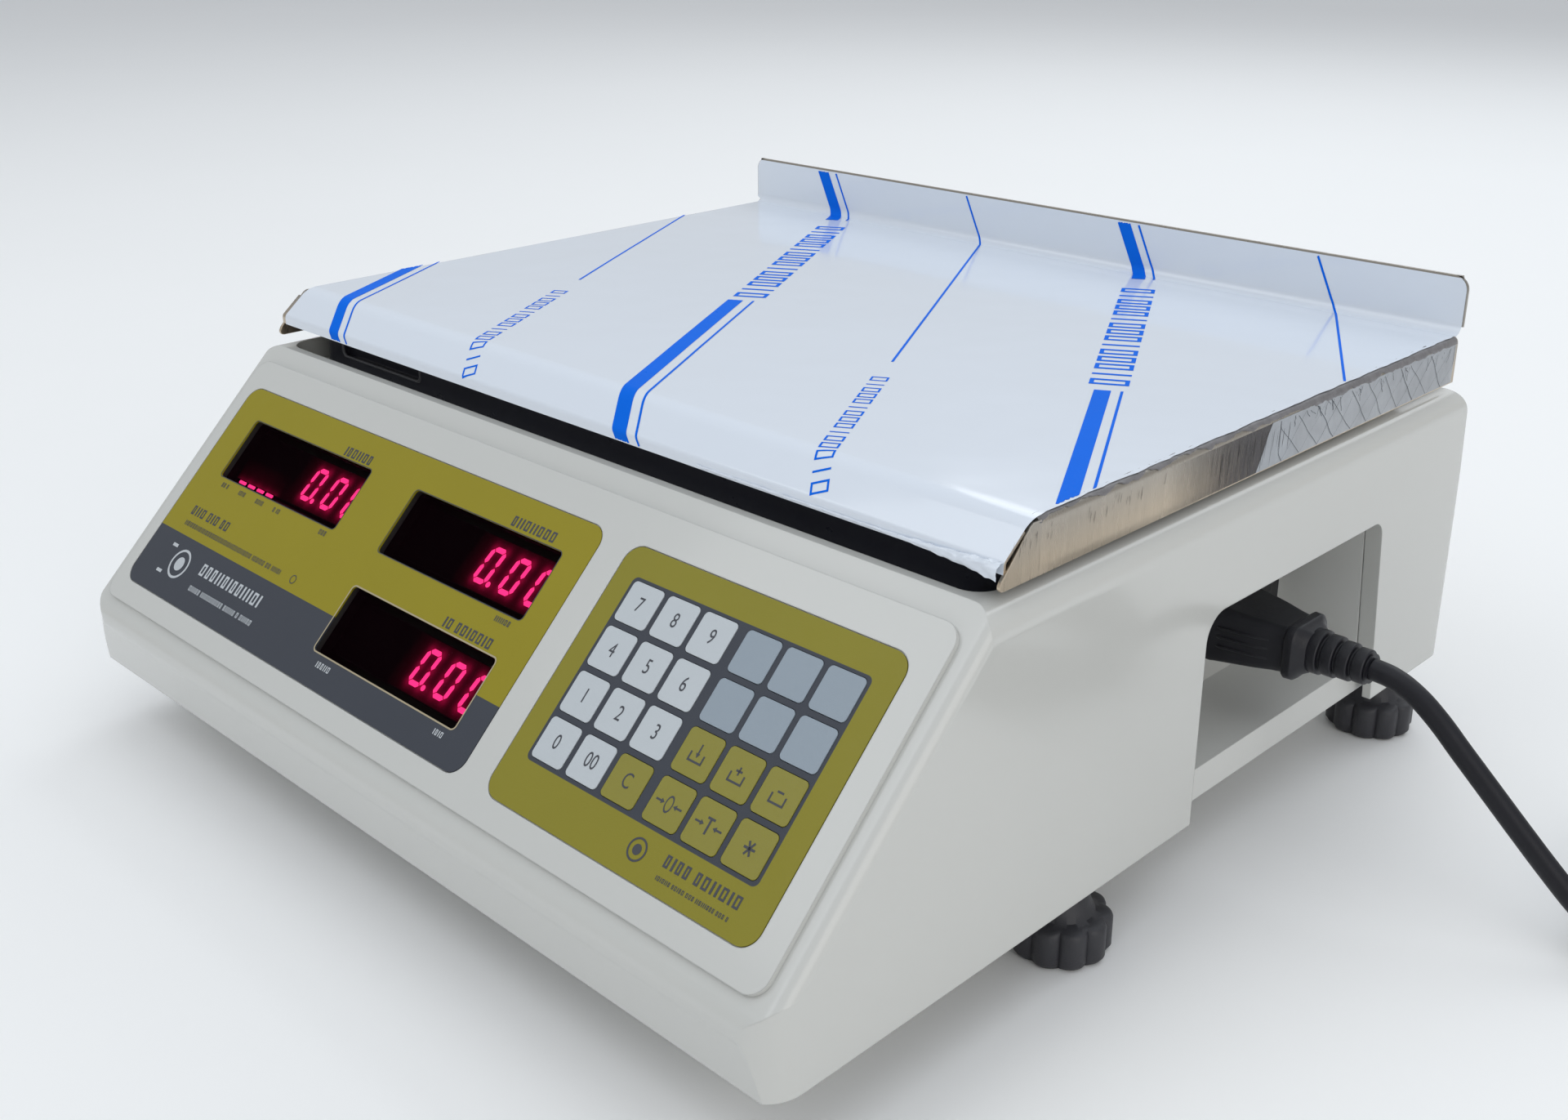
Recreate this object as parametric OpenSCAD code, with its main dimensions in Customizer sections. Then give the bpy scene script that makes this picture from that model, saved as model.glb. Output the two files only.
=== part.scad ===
// Counter-top price-computing retail scale with a lift-off steel platter, a sloping operator
// panel, a customer display on the back wall, four screw feet and a detachable mains lead.
// Millimetres. X runs along the operator panel, Y from operator to customer, Z up.
// The origin is on the counter, under the middle of the housing.

/* [Housing] */
// Width of the housing
body_w = 350; // [346:1:354]
// Depth of the housing
body_d = 350; // [348:1:352]
// Height of the deck rim above the counter
deck_z = 128; // [127:0.5:129]
// Ground clearance under the housing
clearance = 25; // [24:0.5:26]
// Wall thickness of the mouldings
wall = 3; // [2.8:0.1:3.2]
// Radius of the edge between deck and sides
deck_edge_r = 9; // [7:1:9]

/* [Operator panel] */
// Width of the raised pad
pad_w = 337; // [335:1:338]
// Height of the raised pad, measured up the slope
pad_h = 101.5; // [100:0.5:102]
// Thickness of the printed overlays
overlay_t = 0.6; // [0.5:0.05:0.7]
// Width of one display window
window_w = 76; // [75:0.5:76.5]
// Height of one display window
window_h = 23.5; // [23:0.5:24]

/* [Keypad] */
// Key pitch along the panel
key_pitch_u = 14.8; // [14.7:0.05:14.9]
// Key pitch up the slope
key_pitch_v = 14.6; // [14.5:0.05:14.7]
// Extra gap between the number block and the function block
block_gap = 1.8; // [1.6:0.1:2]
// Width of a key
key_w = 12.8; // [12.6:0.1:12.9]
// Height of a key up the slope
key_h = 12.6; // [12.4:0.1:12.7]
// How far a key stands above the overlay
key_proud = 0.15; // [0.1:0.05:0.2]

/* [Platter] */
// Width of the platter
platter_w = 343; // [341:1:344]
// Y of the platter's front bend
platter_front = -78; // [-79:0.5:-77]
// Y of the platter's back face
platter_back = 162.5; // [161:0.5:163]
// Height of the weighing surface
platter_z = 146.8; // [146.5:0.1:147]
// Sheet thickness
sheet_t = 1; // [0.9:0.1:1]
// Outside radius of the bends
bend_r = 2.5; // [2:0.5:3]
// Height of the back lip above the weighing surface
lip_h = 20; // [18:1:22]
// Depth of the side flanges below the weighing surface
flange_h = 16.2; // [16:0.1:16.4]

/* [Feet] */
// X of the feet, left and right of the middle
foot_x = 162; // [161:0.5:162]
// Y of the front feet
foot_front = -41.5; // [-43:0.5:-40]
// Y of the rear feet
foot_back = 149.5; // [148:0.5:150]
// Radius over the lobes of a foot
foot_r = 15.5; // [15:0.5:16]

/* [Mains lead] */
// Diameter of the lead
lead_d = 7; // [6.8:0.1:7.2]
// Radius of the coil at the middle of its turns
coil_r = 41; // [40:0.5:42]

/* [Hidden] */
$fn = 48;
NUMBER_KEYS = ["0", "00", "clear", "1", "2", "3", "4", "5", "6", "7", "8", "9"];
FUNCTION_KEYS = ["zero", "tare", "star", "save", "mw", "mr", "f1", "f2", "f3", "f4", "f5", "f6"];

// Colours
SHELL = [0.83, 0.83, 0.80];
OLIVE = [0.50, 0.48, 0.12];
GREY = [0.33, 0.34, 0.38];
BLACK = [0.06, 0.06, 0.07];
STEEL = [0.72, 0.70, 0.66];
KEY_WHITE = [0.85, 0.86, 0.87];
KEY_BLANK = [0.60, 0.65, 0.70];

// Outline of the housing in the Y-Z plane
front_y = -body_d / 2;
back_y = body_d / 2;
half_w = body_w / 2;
back_lean = 9;
nose_r = 8;
nose_set = 3.8;
chin_set = 2.8;
corner_front_r = 12;
corner_back_r = 8;
slope_edge_r = 4;
root2 = sqrt(2);

// The operator panel's frame: u along +X, v up the slope, w out of the pad's face
panel_y = front_y + nose_set;
panel_z = clearance + 27;
pad_rise = 1.5;
pad_r = 6;
nose_z = panel_z + (nose_r - nose_set) - (pad_rise + nose_r) * root2;
skin_w = -pad_rise - wall;

// The recess in the deck, which the platter support stands in
recess_x = 166;
recess_front = -90;
recess_back = 157;
recess_z = deck_z - 8;
recess_r = 8;
ceiling_z = recess_z - wall;

// Overlays and windows, in panel coordinates
display_u = [-162.5, 41.7];
display_v = [7.8, 90.8];
keypad_u = [53.1, 160.1];
keypad_v = [8.3, 90.2];
overlay_r = 6;
overlay_gap = 0.3;
windows = [[-110, 67.3], [-8, 67.3], [-8, 30.8]];
lens_over = 0.7;
lens_t = 1.8;
led_w = -6;
led_size = [76.2, 19, 8];
board_t = 1.6;
board_w = led_w - led_size[2];
panel_posts = [[-146, 20], [-146, 84.5], [-60, 84.5], [35, 49]];
post_r = 3.5;
post_bore_r = 1.7;
board_screw_r = 1.4;
board_head_r = 2.8;
panel_board_u = [-152, 40];
panel_board_v = [14, 88.5];

// Keys
key_u0 = 68.6;
key_v0 = 30;
key_t = 1.25;
key_r = 1.5;
key_side_gap = 0.15;
cell_w = -1.6;
keypad_open_u = [57.5, 155.5];
keypad_open_v = [17.5, 84.5];
keypad_plate_u = [53.5, 159];
keypad_plate_v = [13.5, 88.5];
keypad_fit = 0.3;

// The back wall's frame: u to the customer's right, v up the wall, w out of the wall
wall_tilt = atan(back_lean / (deck_z - clearance));
rear_v = 70;
rear_pitch = 80;
rear_w = 252;
rear_h = 44;
rear_windows = [[-rear_pitch, rear_v], [0, rear_v], [rear_pitch, rear_v]];
rear_board_w = 246;
rear_board_h = 38;
rear_posts = [[-119, rear_v - 14], [-119, rear_v + 14], [119, rear_v - 14], [119, rear_v + 14]];

// Base moulding and the inlet pocket in the right-hand side
pan_x = 168.8;
pan_front = -166;
pan_back = 167.5;
pan_z = clearance + 1;
pan_rim = 11;
pan_wall = 2.5;
floor_z = pan_z + wall;
pocket_y0 = 5;
pocket_top_y = 111.5;
pocket_low_y = 119.5;
pocket_top_z = 94;
pocket_x = 138;
pocket_r = 9;
lip_in = 169.1;
foot_boss_r = 6.6;
foot_boss_h = 20;
inlet_cut = [14.8, 11.3];
rocker_cut = [12.3, 8.8];

// Screw bosses between base and cover, and their screws
bosses = [[-158, -150], [46, -150], [-140, 150], [140, 150]];
boss_r = 4.5;
boss_bore_r = 2.2;
screw_r = 1.9;
head_r = 3.8;
head_t = 2.4;

// Load cell and platter support
cell_y = 41.7;
cell_len = 130;
cell_wide = 30;
cell_high = 22;
cell_z = 44;
cell_end = 50;
bolt_r = 3;
bolt_gap = 0.3;
bolt_pitch = 16;
bolt_well_r = 5.6;
driver_hole_r = 6.5;
well_h = 8;
bolt_head_r = 5;
bolt_head_h = 6;
bolt_len = 33;
hex_r = 2.9;
flex_r = 7.5;
flex_pitch = 16;
flex_slot = 6;
plinth_size = 34;
column_size = 36;
column_hole = 46;
support_x = 160;
support_front = -80;
support_back = 152;
support_low = recess_z + 1.5;
support_top = 142;
support_skin = 3.5;
pad_spots = [[-145, -62], [145, -62], [-145, 135], [145, 135]];
support_pad_r = 9;
grip_x = [-144, -94];
grip_deep = 2.4;
level_y = -62;
level_flange_r = 9;
level_r = 7;
level_h = 8;
sight_r = 10;

// Electronics on the base: corners in plan, and heights
main_board_x = [-150, -40];
main_board_y = [62, 138];
board_post_x = [-146, -44];
board_post_y = [66, 134];
board_post_h = 10;
// Components on the main board: lower corner, upper corner, height
components = [
    [[-118, 84], [-94, 108], 2], [[-80, 112], [-62, 120], 3],
    [[-138, 118], [-112, 128], 8], [[-72, 68], [-46, 76], 8]
];
capacitors = [[-136, 74], [-124, 74]];
solder = 0.2;
core_lo = [58, 72];
core_hi = [108, 108];
core_h = 40;
tabs_over = 8;
winding_over = 6;
battery_lo = [-152, -72];
battery_hi = [-52, -2];
battery_h = 43;

// Platter's front apron, and the film on it
apron_run = 12;
apron_drop = 10;
apron_angle = atan(apron_drop / apron_run);
lip_corner_r = 5;
flange_lead = (flange_h - bend_r) * 0.9;
bend_relief = 0.6;
film_t = 0.2;

// Power entry in the pocket's inner wall
inlet_y = 60;
inlet_z = 67;
rocker_y = 94;
bezel_t = 3;
bezel_x = pocket_x + bezel_t;
rocker_len = 18.6;
rocker_wide = 12.4;
rocker_rest = 9;
pivot_x = pocket_x + 1;
bezel_y = [42, 110];
bezel_high = 14;
socket_half = [12.5, 8.5];
rocker_hole = [10.3, 6.5];
pivot_r = 1.2;
pivot_half = 7.4;
pivot_fit = [0.08, 0.2];

// Feet
knob_h = 20;
knob_grip_h = 12;
stud_r = 4;
stud_fit = 0.1;
feet = [[-foot_x, foot_front], [foot_x, foot_front], [-foot_x, foot_back], [foot_x, foot_back]];

// Mains lead: hand-placed route points from the connector to the coil, and from the coil to the plug
connector_end = 201;
lead_run = [
    [201, 60, 67], [208, 60, 66.2], [215, 60, 63.4], [222, 60, 58.6], [232, 60, 49.6],
    [242, 60, 40.6], [252, 60, 31.6], [262, 60, 22.8], [271, 60, 15.4], [280, 60, 9.4],
    [289, 60, 5.4], [298, 60, 3.7], [307, 60.4, 3.6]
];
coil_x = 316;
coil_y = 104.5;
coil_cols = 2;
coil_layers = 3;
lead_tail = [
    [360.5, 104.5, 17.5], [360.8, 112, 17], [361.2, 120, 15.6], [361.6, 128, 14], [362, 136, 13],
    [362, 142, 13]
];
plug_axis_x = 362;
plug_axis_z = 13;
plug_y = 142;
blade_pitch = 12.7;
blade_t = 1.5;
earth_r = 2.4;

// ---------- shared helpers ----------

// Rectangle from corner to corner with true-arc corners
module round_rect(lo, hi, r) {
    translate([lo[0] + r, lo[1]]) square([hi[0] - lo[0] - 2 * r, hi[1] - lo[1]]);
    translate([lo[0], lo[1] + r]) square([hi[0] - lo[0], hi[1] - lo[1] - 2 * r]);
    for (x = [lo[0] + r, hi[0] - r])
        for (y = [lo[1] + r, hi[1] - r])
            translate([x, y]) circle(r);
}

// Slab with rounded vertical edges, from z0 to z1
module slab(lo, hi, r, z0, z1) {
    translate([0, 0, z0]) linear_extrude(z1 - z0) round_rect(lo, hi, r);
}

// Box from corner to corner
module block(lo, hi) {
    translate(lo) cube(hi - lo);
}

module on_panel() {
    translate([0, panel_y, panel_z]) rotate([45, 0, 0]) children();
}

module on_back_wall() {
    translate([0, back_y, clearance]) rotate([90 - wall_tilt, 0, 180]) children();
}

function unit(v) = v / norm(v);

// The sliver outside a rounded convex corner at p, between edges that leave along a and b
module corner_sliver(p, a, b, r) {
    half = acos(a * b) / 2;
    d = r / tan(half);
    c = p + unit(a + b) * r / sin(half);
    out_a = -unit(b - (a * b) * a);
    out_b = -unit(a - (a * b) * b);
    difference() {
        polygon([c, p + a * d, p + a * d + out_a, p - a - b, p + b * d + out_b, p + b * d]);
        translate(c) circle(r);
    }
}

function back_at(z) = back_y - back_lean * (z - clearance) / (deck_z - clearance);
function slope_y(z, w) = panel_y + (z - panel_z) - w * root2;

// ---------- housing ----------

// Outline in Y-Z, drawn as X-Y, a distance t inside the outer surface
module side_outline(t, low, top) {
    n = nose_r - t;
    polygon([
        [front_y + chin_set + t, low],
        [front_y + t, nose_z],
        [front_y + nose_r - n / root2, nose_z + n / root2],
        [slope_y(top, -pad_rise - t), top],
        [back_at(top) - t, top],
        [back_at(low) - t, low]
    ]);
    translate([front_y + nose_r, nose_z]) circle(n);
}

module along_x(half) {
    translate([-half, 0, 0]) rotate([90, 0, 90]) linear_extrude(2 * half) children();
}

module plan_outline(t) {
    r1 = corner_front_r - t;
    r2 = corner_back_r - t;
    x = half_w - t;
    round_rect([-x, front_y + t], [x, 0], r1);
    round_rect([-x, -2 * r1], [x, back_y - t], r2);
}

module outer_body() {
    up_back = unit([-back_lean, deck_z - clearance]);
    intersection() {
        along_x(half_w) difference() {
            side_outline(0, clearance, deck_z);
            corner_sliver([back_at(deck_z), deck_z], [-1, 0], -up_back, deck_edge_r);
            corner_sliver([back_y, clearance], [-1, 0], up_back, corner_back_r);
        }
        translate([0, back_y + 1, 0]) rotate([90, 0, 0]) linear_extrude(body_d + 2) difference() {
            translate([-half_w, 0]) square([body_w, deck_z]);
            corner_sliver([half_w, deck_z], [-1, 0], [0, -1], deck_edge_r);
            corner_sliver([-half_w, deck_z], [1, 0], [0, -1], deck_edge_r);
        }
        translate([0, 0, clearance - 1]) linear_extrude(deck_z) plan_outline(0);
        on_panel() translate([0, 400, 0]) rotate([90, 0, 0]) linear_extrude(800) difference() {
            translate([-half_w, -400]) square([body_w, 400 - pad_rise]);
            corner_sliver([half_w, -pad_rise], [-1, 0], [0, -1], slope_edge_r);
            corner_sliver([-half_w, -pad_rise], [1, 0], [0, -1], slope_edge_r);
        }
    }
}

module inner_body() {
    intersection() {
        along_x(half_w - wall) side_outline(wall, clearance - 5, ceiling_z);
        translate([0, 0, clearance - 10]) linear_extrude(deck_z) plan_outline(wall);
    }
}

// Y of the inlet opening's leaning back edge at height z, grown by t
function pocket_back(z, t) = pocket_top_y + t
    + (pocket_low_y - pocket_top_y) * (pocket_top_z - z) / (pocket_top_z - clearance);

// Outline of the inlet opening in the right-hand side, in Y-Z, grown by t, with square corners
module pocket_square(t, low) {
    top = pocket_top_z + t;
    polygon([[pocket_y0 - t, low], [pocket_y0 - t, top],
             [pocket_back(top, t), top], [pocket_back(low, t), low]]);
}

// The same outline with its two upper corners rounded
module pocket_outline(t, low) {
    top = pocket_top_z + t;
    up_back = unit([pocket_back(top, t) - pocket_back(low, t), top - low]);
    difference() {
        pocket_square(t, low);
        corner_sliver([pocket_y0 - t, top], [1, 0], [0, -1], pocket_r + t);
        corner_sliver([pocket_back(top, t), top], [-1, 0], -up_back, pocket_r - 3 + t);
    }
}

module from_x(x0, x1) {
    translate([x0, 0, 0]) rotate([90, 0, 90]) linear_extrude(x1 - x0) children();
}

// Box at the inlet's height, centred on y, of half sizes half in Y and Z
module cut_box(y, half, x0, x1) {
    block([x0, y - half[0], inlet_z - half[1]], [x1, y + half[0], inlet_z + half[1]]);
}

module window_hole(at, grow, w0, w1) {
    translate([at[0], at[1], w0]) linear_extrude(w1 - w0)
        round_rect([-window_w / 2 - grow, -window_h / 2 - grow],
                   [window_w / 2 + grow, window_h / 2 + grow], 1.5);
}

module posts(spots, r, w0, w1) {
    for (p = spots) translate([p[0], p[1], w0]) cylinder(r = r, h = w1 - w0);
}

module top_cover() {
    color(SHELL) difference() {
        union() {
            difference() {
                outer_body();
                inner_body();
            }
            on_panel() slab([-pad_w / 2, 0], [pad_w / 2, pad_h], pad_r, -pad_rise - 0.5, 0);
            on_panel() posts(panel_posts, post_r, board_w, skin_w + 0.5);
            on_back_wall() posts(rear_posts, post_r, board_w, -wall + 0.5);
            for (b = bosses) difference() {
                translate([b[0], b[1], floor_z]) cylinder(r = boss_r, h = ceiling_z - floor_z + 0.5);
                if (b[1] < 0) on_panel() block([-200, -100, skin_w + 1], [200, 300, 150]);
            }
            from_x(lip_in, half_w - 1) pocket_square(wall, floor_z + 8);
        }
        slab([-recess_x, recess_front], [recess_x, recess_back], recess_r, recess_z, deck_z + 5);
        // Column of the platter support passes through the deck here
        block([cell_end - column_hole / 2, cell_y - column_hole / 2, ceiling_z - 1],
            [cell_end + column_hole / 2, cell_y + column_hole / 2, recess_z + 1]);
        on_panel() {
            slab([display_u[0], display_v[0]], [display_u[1], display_v[1]], overlay_r, -overlay_t, 5);
            slab([keypad_u[0], keypad_v[0]], [keypad_u[1], keypad_v[1]], overlay_r, -overlay_t, 5);
            for (p = windows) window_hole(p, 1, skin_w - 1, 1);
            slab([keypad_open_u[0], keypad_open_v[0]], [keypad_open_u[1], keypad_open_v[1]],
                 2, skin_w - 1, 1);
            posts(panel_posts, post_bore_r, board_w - 1, board_w + 7);
        }
        on_back_wall() {
            slab([-rear_w / 2, rear_v - rear_h / 2], [rear_w / 2, rear_v + rear_h / 2],
                 overlay_r, -overlay_t, 5);
            for (p = rear_windows) window_hole(p, 1, -wall - 1, 1);
            posts(rear_posts, post_bore_r, board_w - 1, board_w + 7);
        }
        for (b = bosses) translate([b[0], b[1], floor_z - 1]) cylinder(r = boss_bore_r, h = 16);
        from_x(lip_in - 1, half_w + 5) pocket_outline(0, clearance - 5);
    }
}

module base_housing() {
    inner_x = pan_x - pan_wall;
    color(SHELL) difference() {
        union() {
            difference() {
                slab([-pan_x, pan_front], [pan_x, pan_back], 8, pan_z, pan_z + pan_rim);
                slab([-inner_x, pan_front + pan_wall], [inner_x, pan_back - pan_wall], 6, floor_z, deck_z);
            }
            // Inlet pocket
            from_x(pocket_x - pan_wall, pan_x) pocket_outline(pan_wall, pan_z + pan_rim - pan_wall);
            // Rib under the pocket
            block([pocket_x - pan_wall, pocket_y0, pan_z], [pocket_x, pocket_top_y, pan_z + pan_rim]);
            // Foot bosses
            for (f = feet) translate([f[0], f[1], pan_z]) cylinder(r = foot_boss_r, h = foot_boss_h);
            // Plinth of the load cell
            block([-cell_end - plinth_size / 2, cell_y - plinth_size / 2, pan_z],
                [-cell_end + plinth_size / 2, cell_y + plinth_size / 2, cell_z]);
            // Standoffs of the main board
            for (x = board_post_x) for (y = board_post_y)
                translate([x, y, pan_z]) cylinder(r = post_r, h = board_post_h);
        }
        from_x(pocket_x, pan_x + 5) pocket_outline(0, pan_z + pan_rim);
        // Cut-outs for the inlet and the switch
        cut_box(inlet_y, inlet_cut, pocket_x - 5, pocket_x + 1);
        cut_box(rocker_y, rocker_cut, pocket_x - 5, pocket_x + 1);
        for (f = feet) translate([f[0], f[1], pan_z - 1]) cylinder(r = stud_r + stud_fit, h = 30);
        for (b = bosses) translate([b[0], b[1], pan_z - 1]) cylinder(r = boss_bore_r, h = 6);
        for (s = [-1, 1]) {
            translate([-cell_end, cell_y + s * bolt_pitch / 2, pan_z - 1])
                cylinder(r = bolt_r + bolt_gap, h = 30);
            translate([-cell_end, cell_y + s * bolt_pitch / 2, pan_z - 1])
                cylinder(r = bolt_well_r, h = well_h);
            translate([cell_end, cell_y + s * bolt_pitch / 2, pan_z - 1])
                cylinder(r = driver_hole_r, h = well_h);
        }
    }
}

module housing_screws() {
    color(STEEL) for (b = bosses) translate([b[0], b[1], 0]) {
        difference() {
            translate([0, 0, pan_z - head_t]) cylinder(r = head_r, h = head_t);
            for (a = [0, 90]) translate([0, 0, pan_z - head_t - 1]) rotate(a)
                translate([-2, -0.4, 0]) cube([4, 0.8, 2]);
        }
        translate([0, 0, pan_z - 0.5]) cylinder(r = screw_r, h = 15);
    }
}

// ---------- operator panel and customer display ----------

module overlay(lo, hi) {
    slab([lo[0] + overlay_gap, lo[1] + overlay_gap], [hi[0] - overlay_gap, hi[1] - overlay_gap],
        overlay_r - overlay_gap, -overlay_t, 0);
}

module display_overlay() {
    color(OLIVE) on_panel() difference() {
        overlay([display_u[0], display_v[0]], [display_u[1], display_v[1]]);
        for (p = windows) window_hole(p, 0, -2, 2);
    }
}

module rear_overlay() {
    color(OLIVE) on_back_wall() difference() {
        overlay([-rear_w / 2, rear_v - rear_h / 2], [rear_w / 2, rear_v + rear_h / 2]);
        for (p = rear_windows) window_hole(p, 0, -2, 2);
    }
}

// One tinted pane, glued behind an overlay's window
module lens_pane(at) {
    window_hole(at, lens_over, -overlay_t - lens_t, -overlay_t);
}

module display_lens() {
    color([0.1, 0.02, 0.03, 0.6]) {
        on_panel() for (p = windows) lens_pane(p);
        on_back_wall() for (p = rear_windows) lens_pane(p);
    }
}

// One six-digit LED module, centred behind a window
module led_module(at) {
    translate([at[0] - led_size[0] / 2, at[1] - led_size[1] / 2, board_w]) cube(led_size);
}

module led_modules() {
    color(BLACK) {
        on_panel() for (p = windows) led_module(p);
        on_back_wall() for (p = rear_windows) led_module(p);
    }
}

module display_board() {
    color([0.05, 0.25, 0.12]) on_panel() difference() {
        block([panel_board_u[0], panel_board_v[0], board_w - board_t],
            [panel_board_u[1], panel_board_v[1], board_w]);
        posts(panel_posts, post_bore_r, board_w - 3, board_w + 1);
    }
}

module rear_board() {
    color([0.05, 0.25, 0.12]) on_back_wall() difference() {
        block([-rear_board_w / 2, rear_v - rear_board_h / 2, board_w - board_t],
            [rear_board_w / 2, rear_v + rear_board_h / 2, board_w]);
        posts(rear_posts, post_bore_r, board_w - 3, board_w + 1);
    }
}

module board_screw_set(spots) {
    posts(spots, board_head_r, board_w - board_t - 2, board_w - board_t);
    posts(spots, board_screw_r, board_w - board_t - 0.5, board_w + 6);
}

module board_screws() {
    color(STEEL) {
        on_panel() board_screw_set(panel_posts);
        on_back_wall() board_screw_set(rear_posts);
    }
}

// Column and row of a key give its centre on the panel
function key_u(col) = key_u0 + col * key_pitch_u + (col > 2 ? block_gap : 0);
function key_v(row) = key_v0 + row * key_pitch_v;

module each_key() {
    for (col = [0:5]) for (row = [0:3])
        translate([key_u(col), key_v(row), 0]) children();
}

module key_shape(grow, w0, w1) {
    x = key_w / 2 + grow;
    y = key_h / 2 + grow;
    slab([-x, -y], [x, y], key_r + grow, w0, w1, $fn = 24);
}

module key(col, row, tint) {
    color(tint) on_panel() translate([key_u(col), key_v(row), 0])
        key_shape(0, key_proud - key_t, key_proud);
}

module number_key(name) {
    i = search([name], NUMBER_KEYS)[0];
    key(i % 3, floor(i / 3), name == "clear" ? OLIVE : KEY_WHITE);
}

module function_key(name) {
    i = search([name], FUNCTION_KEYS)[0];
    key(3 + i % 3, floor(i / 3), i < 6 ? OLIVE : KEY_BLANK);
}

module keypad_overlay() {
    color(OLIVE) on_panel() difference() {
        overlay([keypad_u[0], keypad_v[0]], [keypad_u[1], keypad_v[1]]);
        each_key() key_shape(key_side_gap, -2, 2);
    }
}

// Backing plate with a raised tray of switch cells, one under each key
module keypad_base() {
    lo = [keypad_open_u[0] + keypad_fit, keypad_open_v[0] + keypad_fit];
    hi = [keypad_open_u[1] - keypad_fit, keypad_open_v[1] - keypad_fit];
    color(GREY) on_panel() difference() {
        union() {
            slab([keypad_plate_u[0], keypad_plate_v[0]], [keypad_plate_u[1], keypad_plate_v[1]], 2,
                skin_w - 2, skin_w);
            slab(lo, hi, 1.7, skin_w - 1, -overlay_t);
        }
        each_key() key_shape(keypad_fit, cell_w, 2);
    }
}

// ---------- platter and what carries it ----------

module platter() {
    x = platter_w / 2;
    xb = x - bend_r;
    yb = platter_back - bend_r;
    color(STEEL) difference() {
        union() {
            // Weighing surface, and the apron sloping down at its front
            along_x(xb) polygon([
                [yb, platter_z],
                [platter_front, platter_z],
                [platter_front - apron_run, platter_z - apron_drop],
                [platter_front - apron_run + sheet_t * sin(apron_angle),
                    platter_z - apron_drop - sheet_t * cos(apron_angle)],
                [platter_front + sheet_t * tan(apron_angle / 2), platter_z - sheet_t],
                [yb, platter_z - sheet_t]
            ]);
            // Back lip, with rounded upper corners
            translate([0, platter_back, 0]) rotate([90, 0, 0]) linear_extrude(sheet_t) difference() {
                translate([-x, platter_z + bend_r]) square([platter_w, lip_h - bend_r]);
                corner_sliver([x, platter_z + lip_h], [-1, 0], [0, -1], lip_corner_r);
                corner_sliver([-x, platter_z + lip_h], [1, 0], [0, -1], lip_corner_r);
            }
            // Back bend
            translate([-xb, yb, platter_z + bend_r - sheet_t]) rotate([90, 0, 90])
                linear_extrude(2 * xb) intersection() {
                    difference() {
                        circle(bend_r);
                        circle(bend_r - sheet_t);
                    }
                    translate([0, -bend_r]) square(bend_r);
                }
            translate([-x, platter_back - sheet_t, platter_z + bend_r - sheet_t - 0.5])
                cube([platter_w, sheet_t, sheet_t + 1]);
            // Side bends, relieved at both ends, and flanges
            for (s = [-1, 1]) {
                translate([s * xb, yb - bend_relief, platter_z - bend_r]) rotate([90, 0, 0])
                    linear_extrude(yb - platter_front - 2 * bend_relief) intersection() {
                        difference() {
                            circle(bend_r);
                            circle(bend_r - sheet_t);
                        }
                        translate([s > 0 ? 0 : -bend_r, 0]) square(bend_r);
                    }
                from_x(s > 0 ? x - sheet_t : -x, s > 0 ? x : -x + sheet_t) polygon([
                    [platter_front, platter_z - bend_r],
                    [platter_front - flange_lead, platter_z - flange_h + 1.5],
                    [platter_front - flange_lead + 0.5, platter_z - flange_h],
                    [yb - bend_relief, platter_z - flange_h],
                    [yb - bend_relief, platter_z - bend_r]
                ]);
            }
        }
    }
}

// Protective film: one flat panel each on the weighing surface, the apron and the back lip
module platter_film() {
    xb = platter_w / 2 - bend_r;
    color([0.9, 0.93, 1, 0.8]) {
        block([-xb, platter_front + 0.5, platter_z], [xb, platter_back - 2 * bend_r, platter_z + film_t]);
        translate([0, platter_front, platter_z]) rotate([apron_angle, 0, 0])
            block([-xb, -15.4, 0], [xb, -0.8, film_t]);
        block([-xb, platter_back - sheet_t - film_t, platter_z + bend_r],
            [xb, platter_back - sheet_t, platter_z + lip_h - 0.5]);
    }
}

module platter_support() {
    in = support_skin;
    color(BLACK) difference() {
        union() {
            difference() {
                slab([-support_x, support_front], [support_x, support_back], 8, support_low, support_top);
                slab([-support_x + in, support_front + in], [support_x - in, support_back - in], 5,
                    support_low - 1, support_top - in);
            }
            // Ribs from the column to the skirt
            block([-support_x + 2, cell_y - 1.5, support_low + 4],
                  [support_x - 2, cell_y + 1.5, support_top - 1]);
            block([cell_end - 1.5, support_front + 2, support_low + 4],
                [cell_end + 1.5, support_back - 2, support_top - 1]);
            // Column down to the load cell
            block([cell_end - column_size / 2, cell_y - column_size / 2, cell_z + cell_high],
                [cell_end + column_size / 2, cell_y + column_size / 2, support_top - 1]);
        }
        // Sight hole over the bubble level
        translate([0, level_y, support_top - 6]) cylinder(r = sight_r, h = 10);
        // Shallow grip recess in the front face
        block([grip_x[0], support_front - 1, support_low + 4.5],
            [grip_x[1], support_front + grip_deep, support_top - 3.5]);
        for (s = [-1, 1]) translate([cell_end, cell_y + s * bolt_pitch / 2, cell_z + cell_high - 1])
            cylinder(r = bolt_r + bolt_gap, h = 16);
    }
}

module support_pads() {
    color([0.2, 0.2, 0.2]) for (p = pad_spots) translate([p[0], p[1], support_top])
        cylinder(r = support_pad_r, h = platter_z - sheet_t - support_top);
}

module bubble_level() {
    color([0.6, 0.8, 0.3]) translate([0, level_y, recess_z]) {
        cylinder(r = level_flange_r, h = 2);
        cylinder(r = level_r, h = level_h);
    }
}

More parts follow.
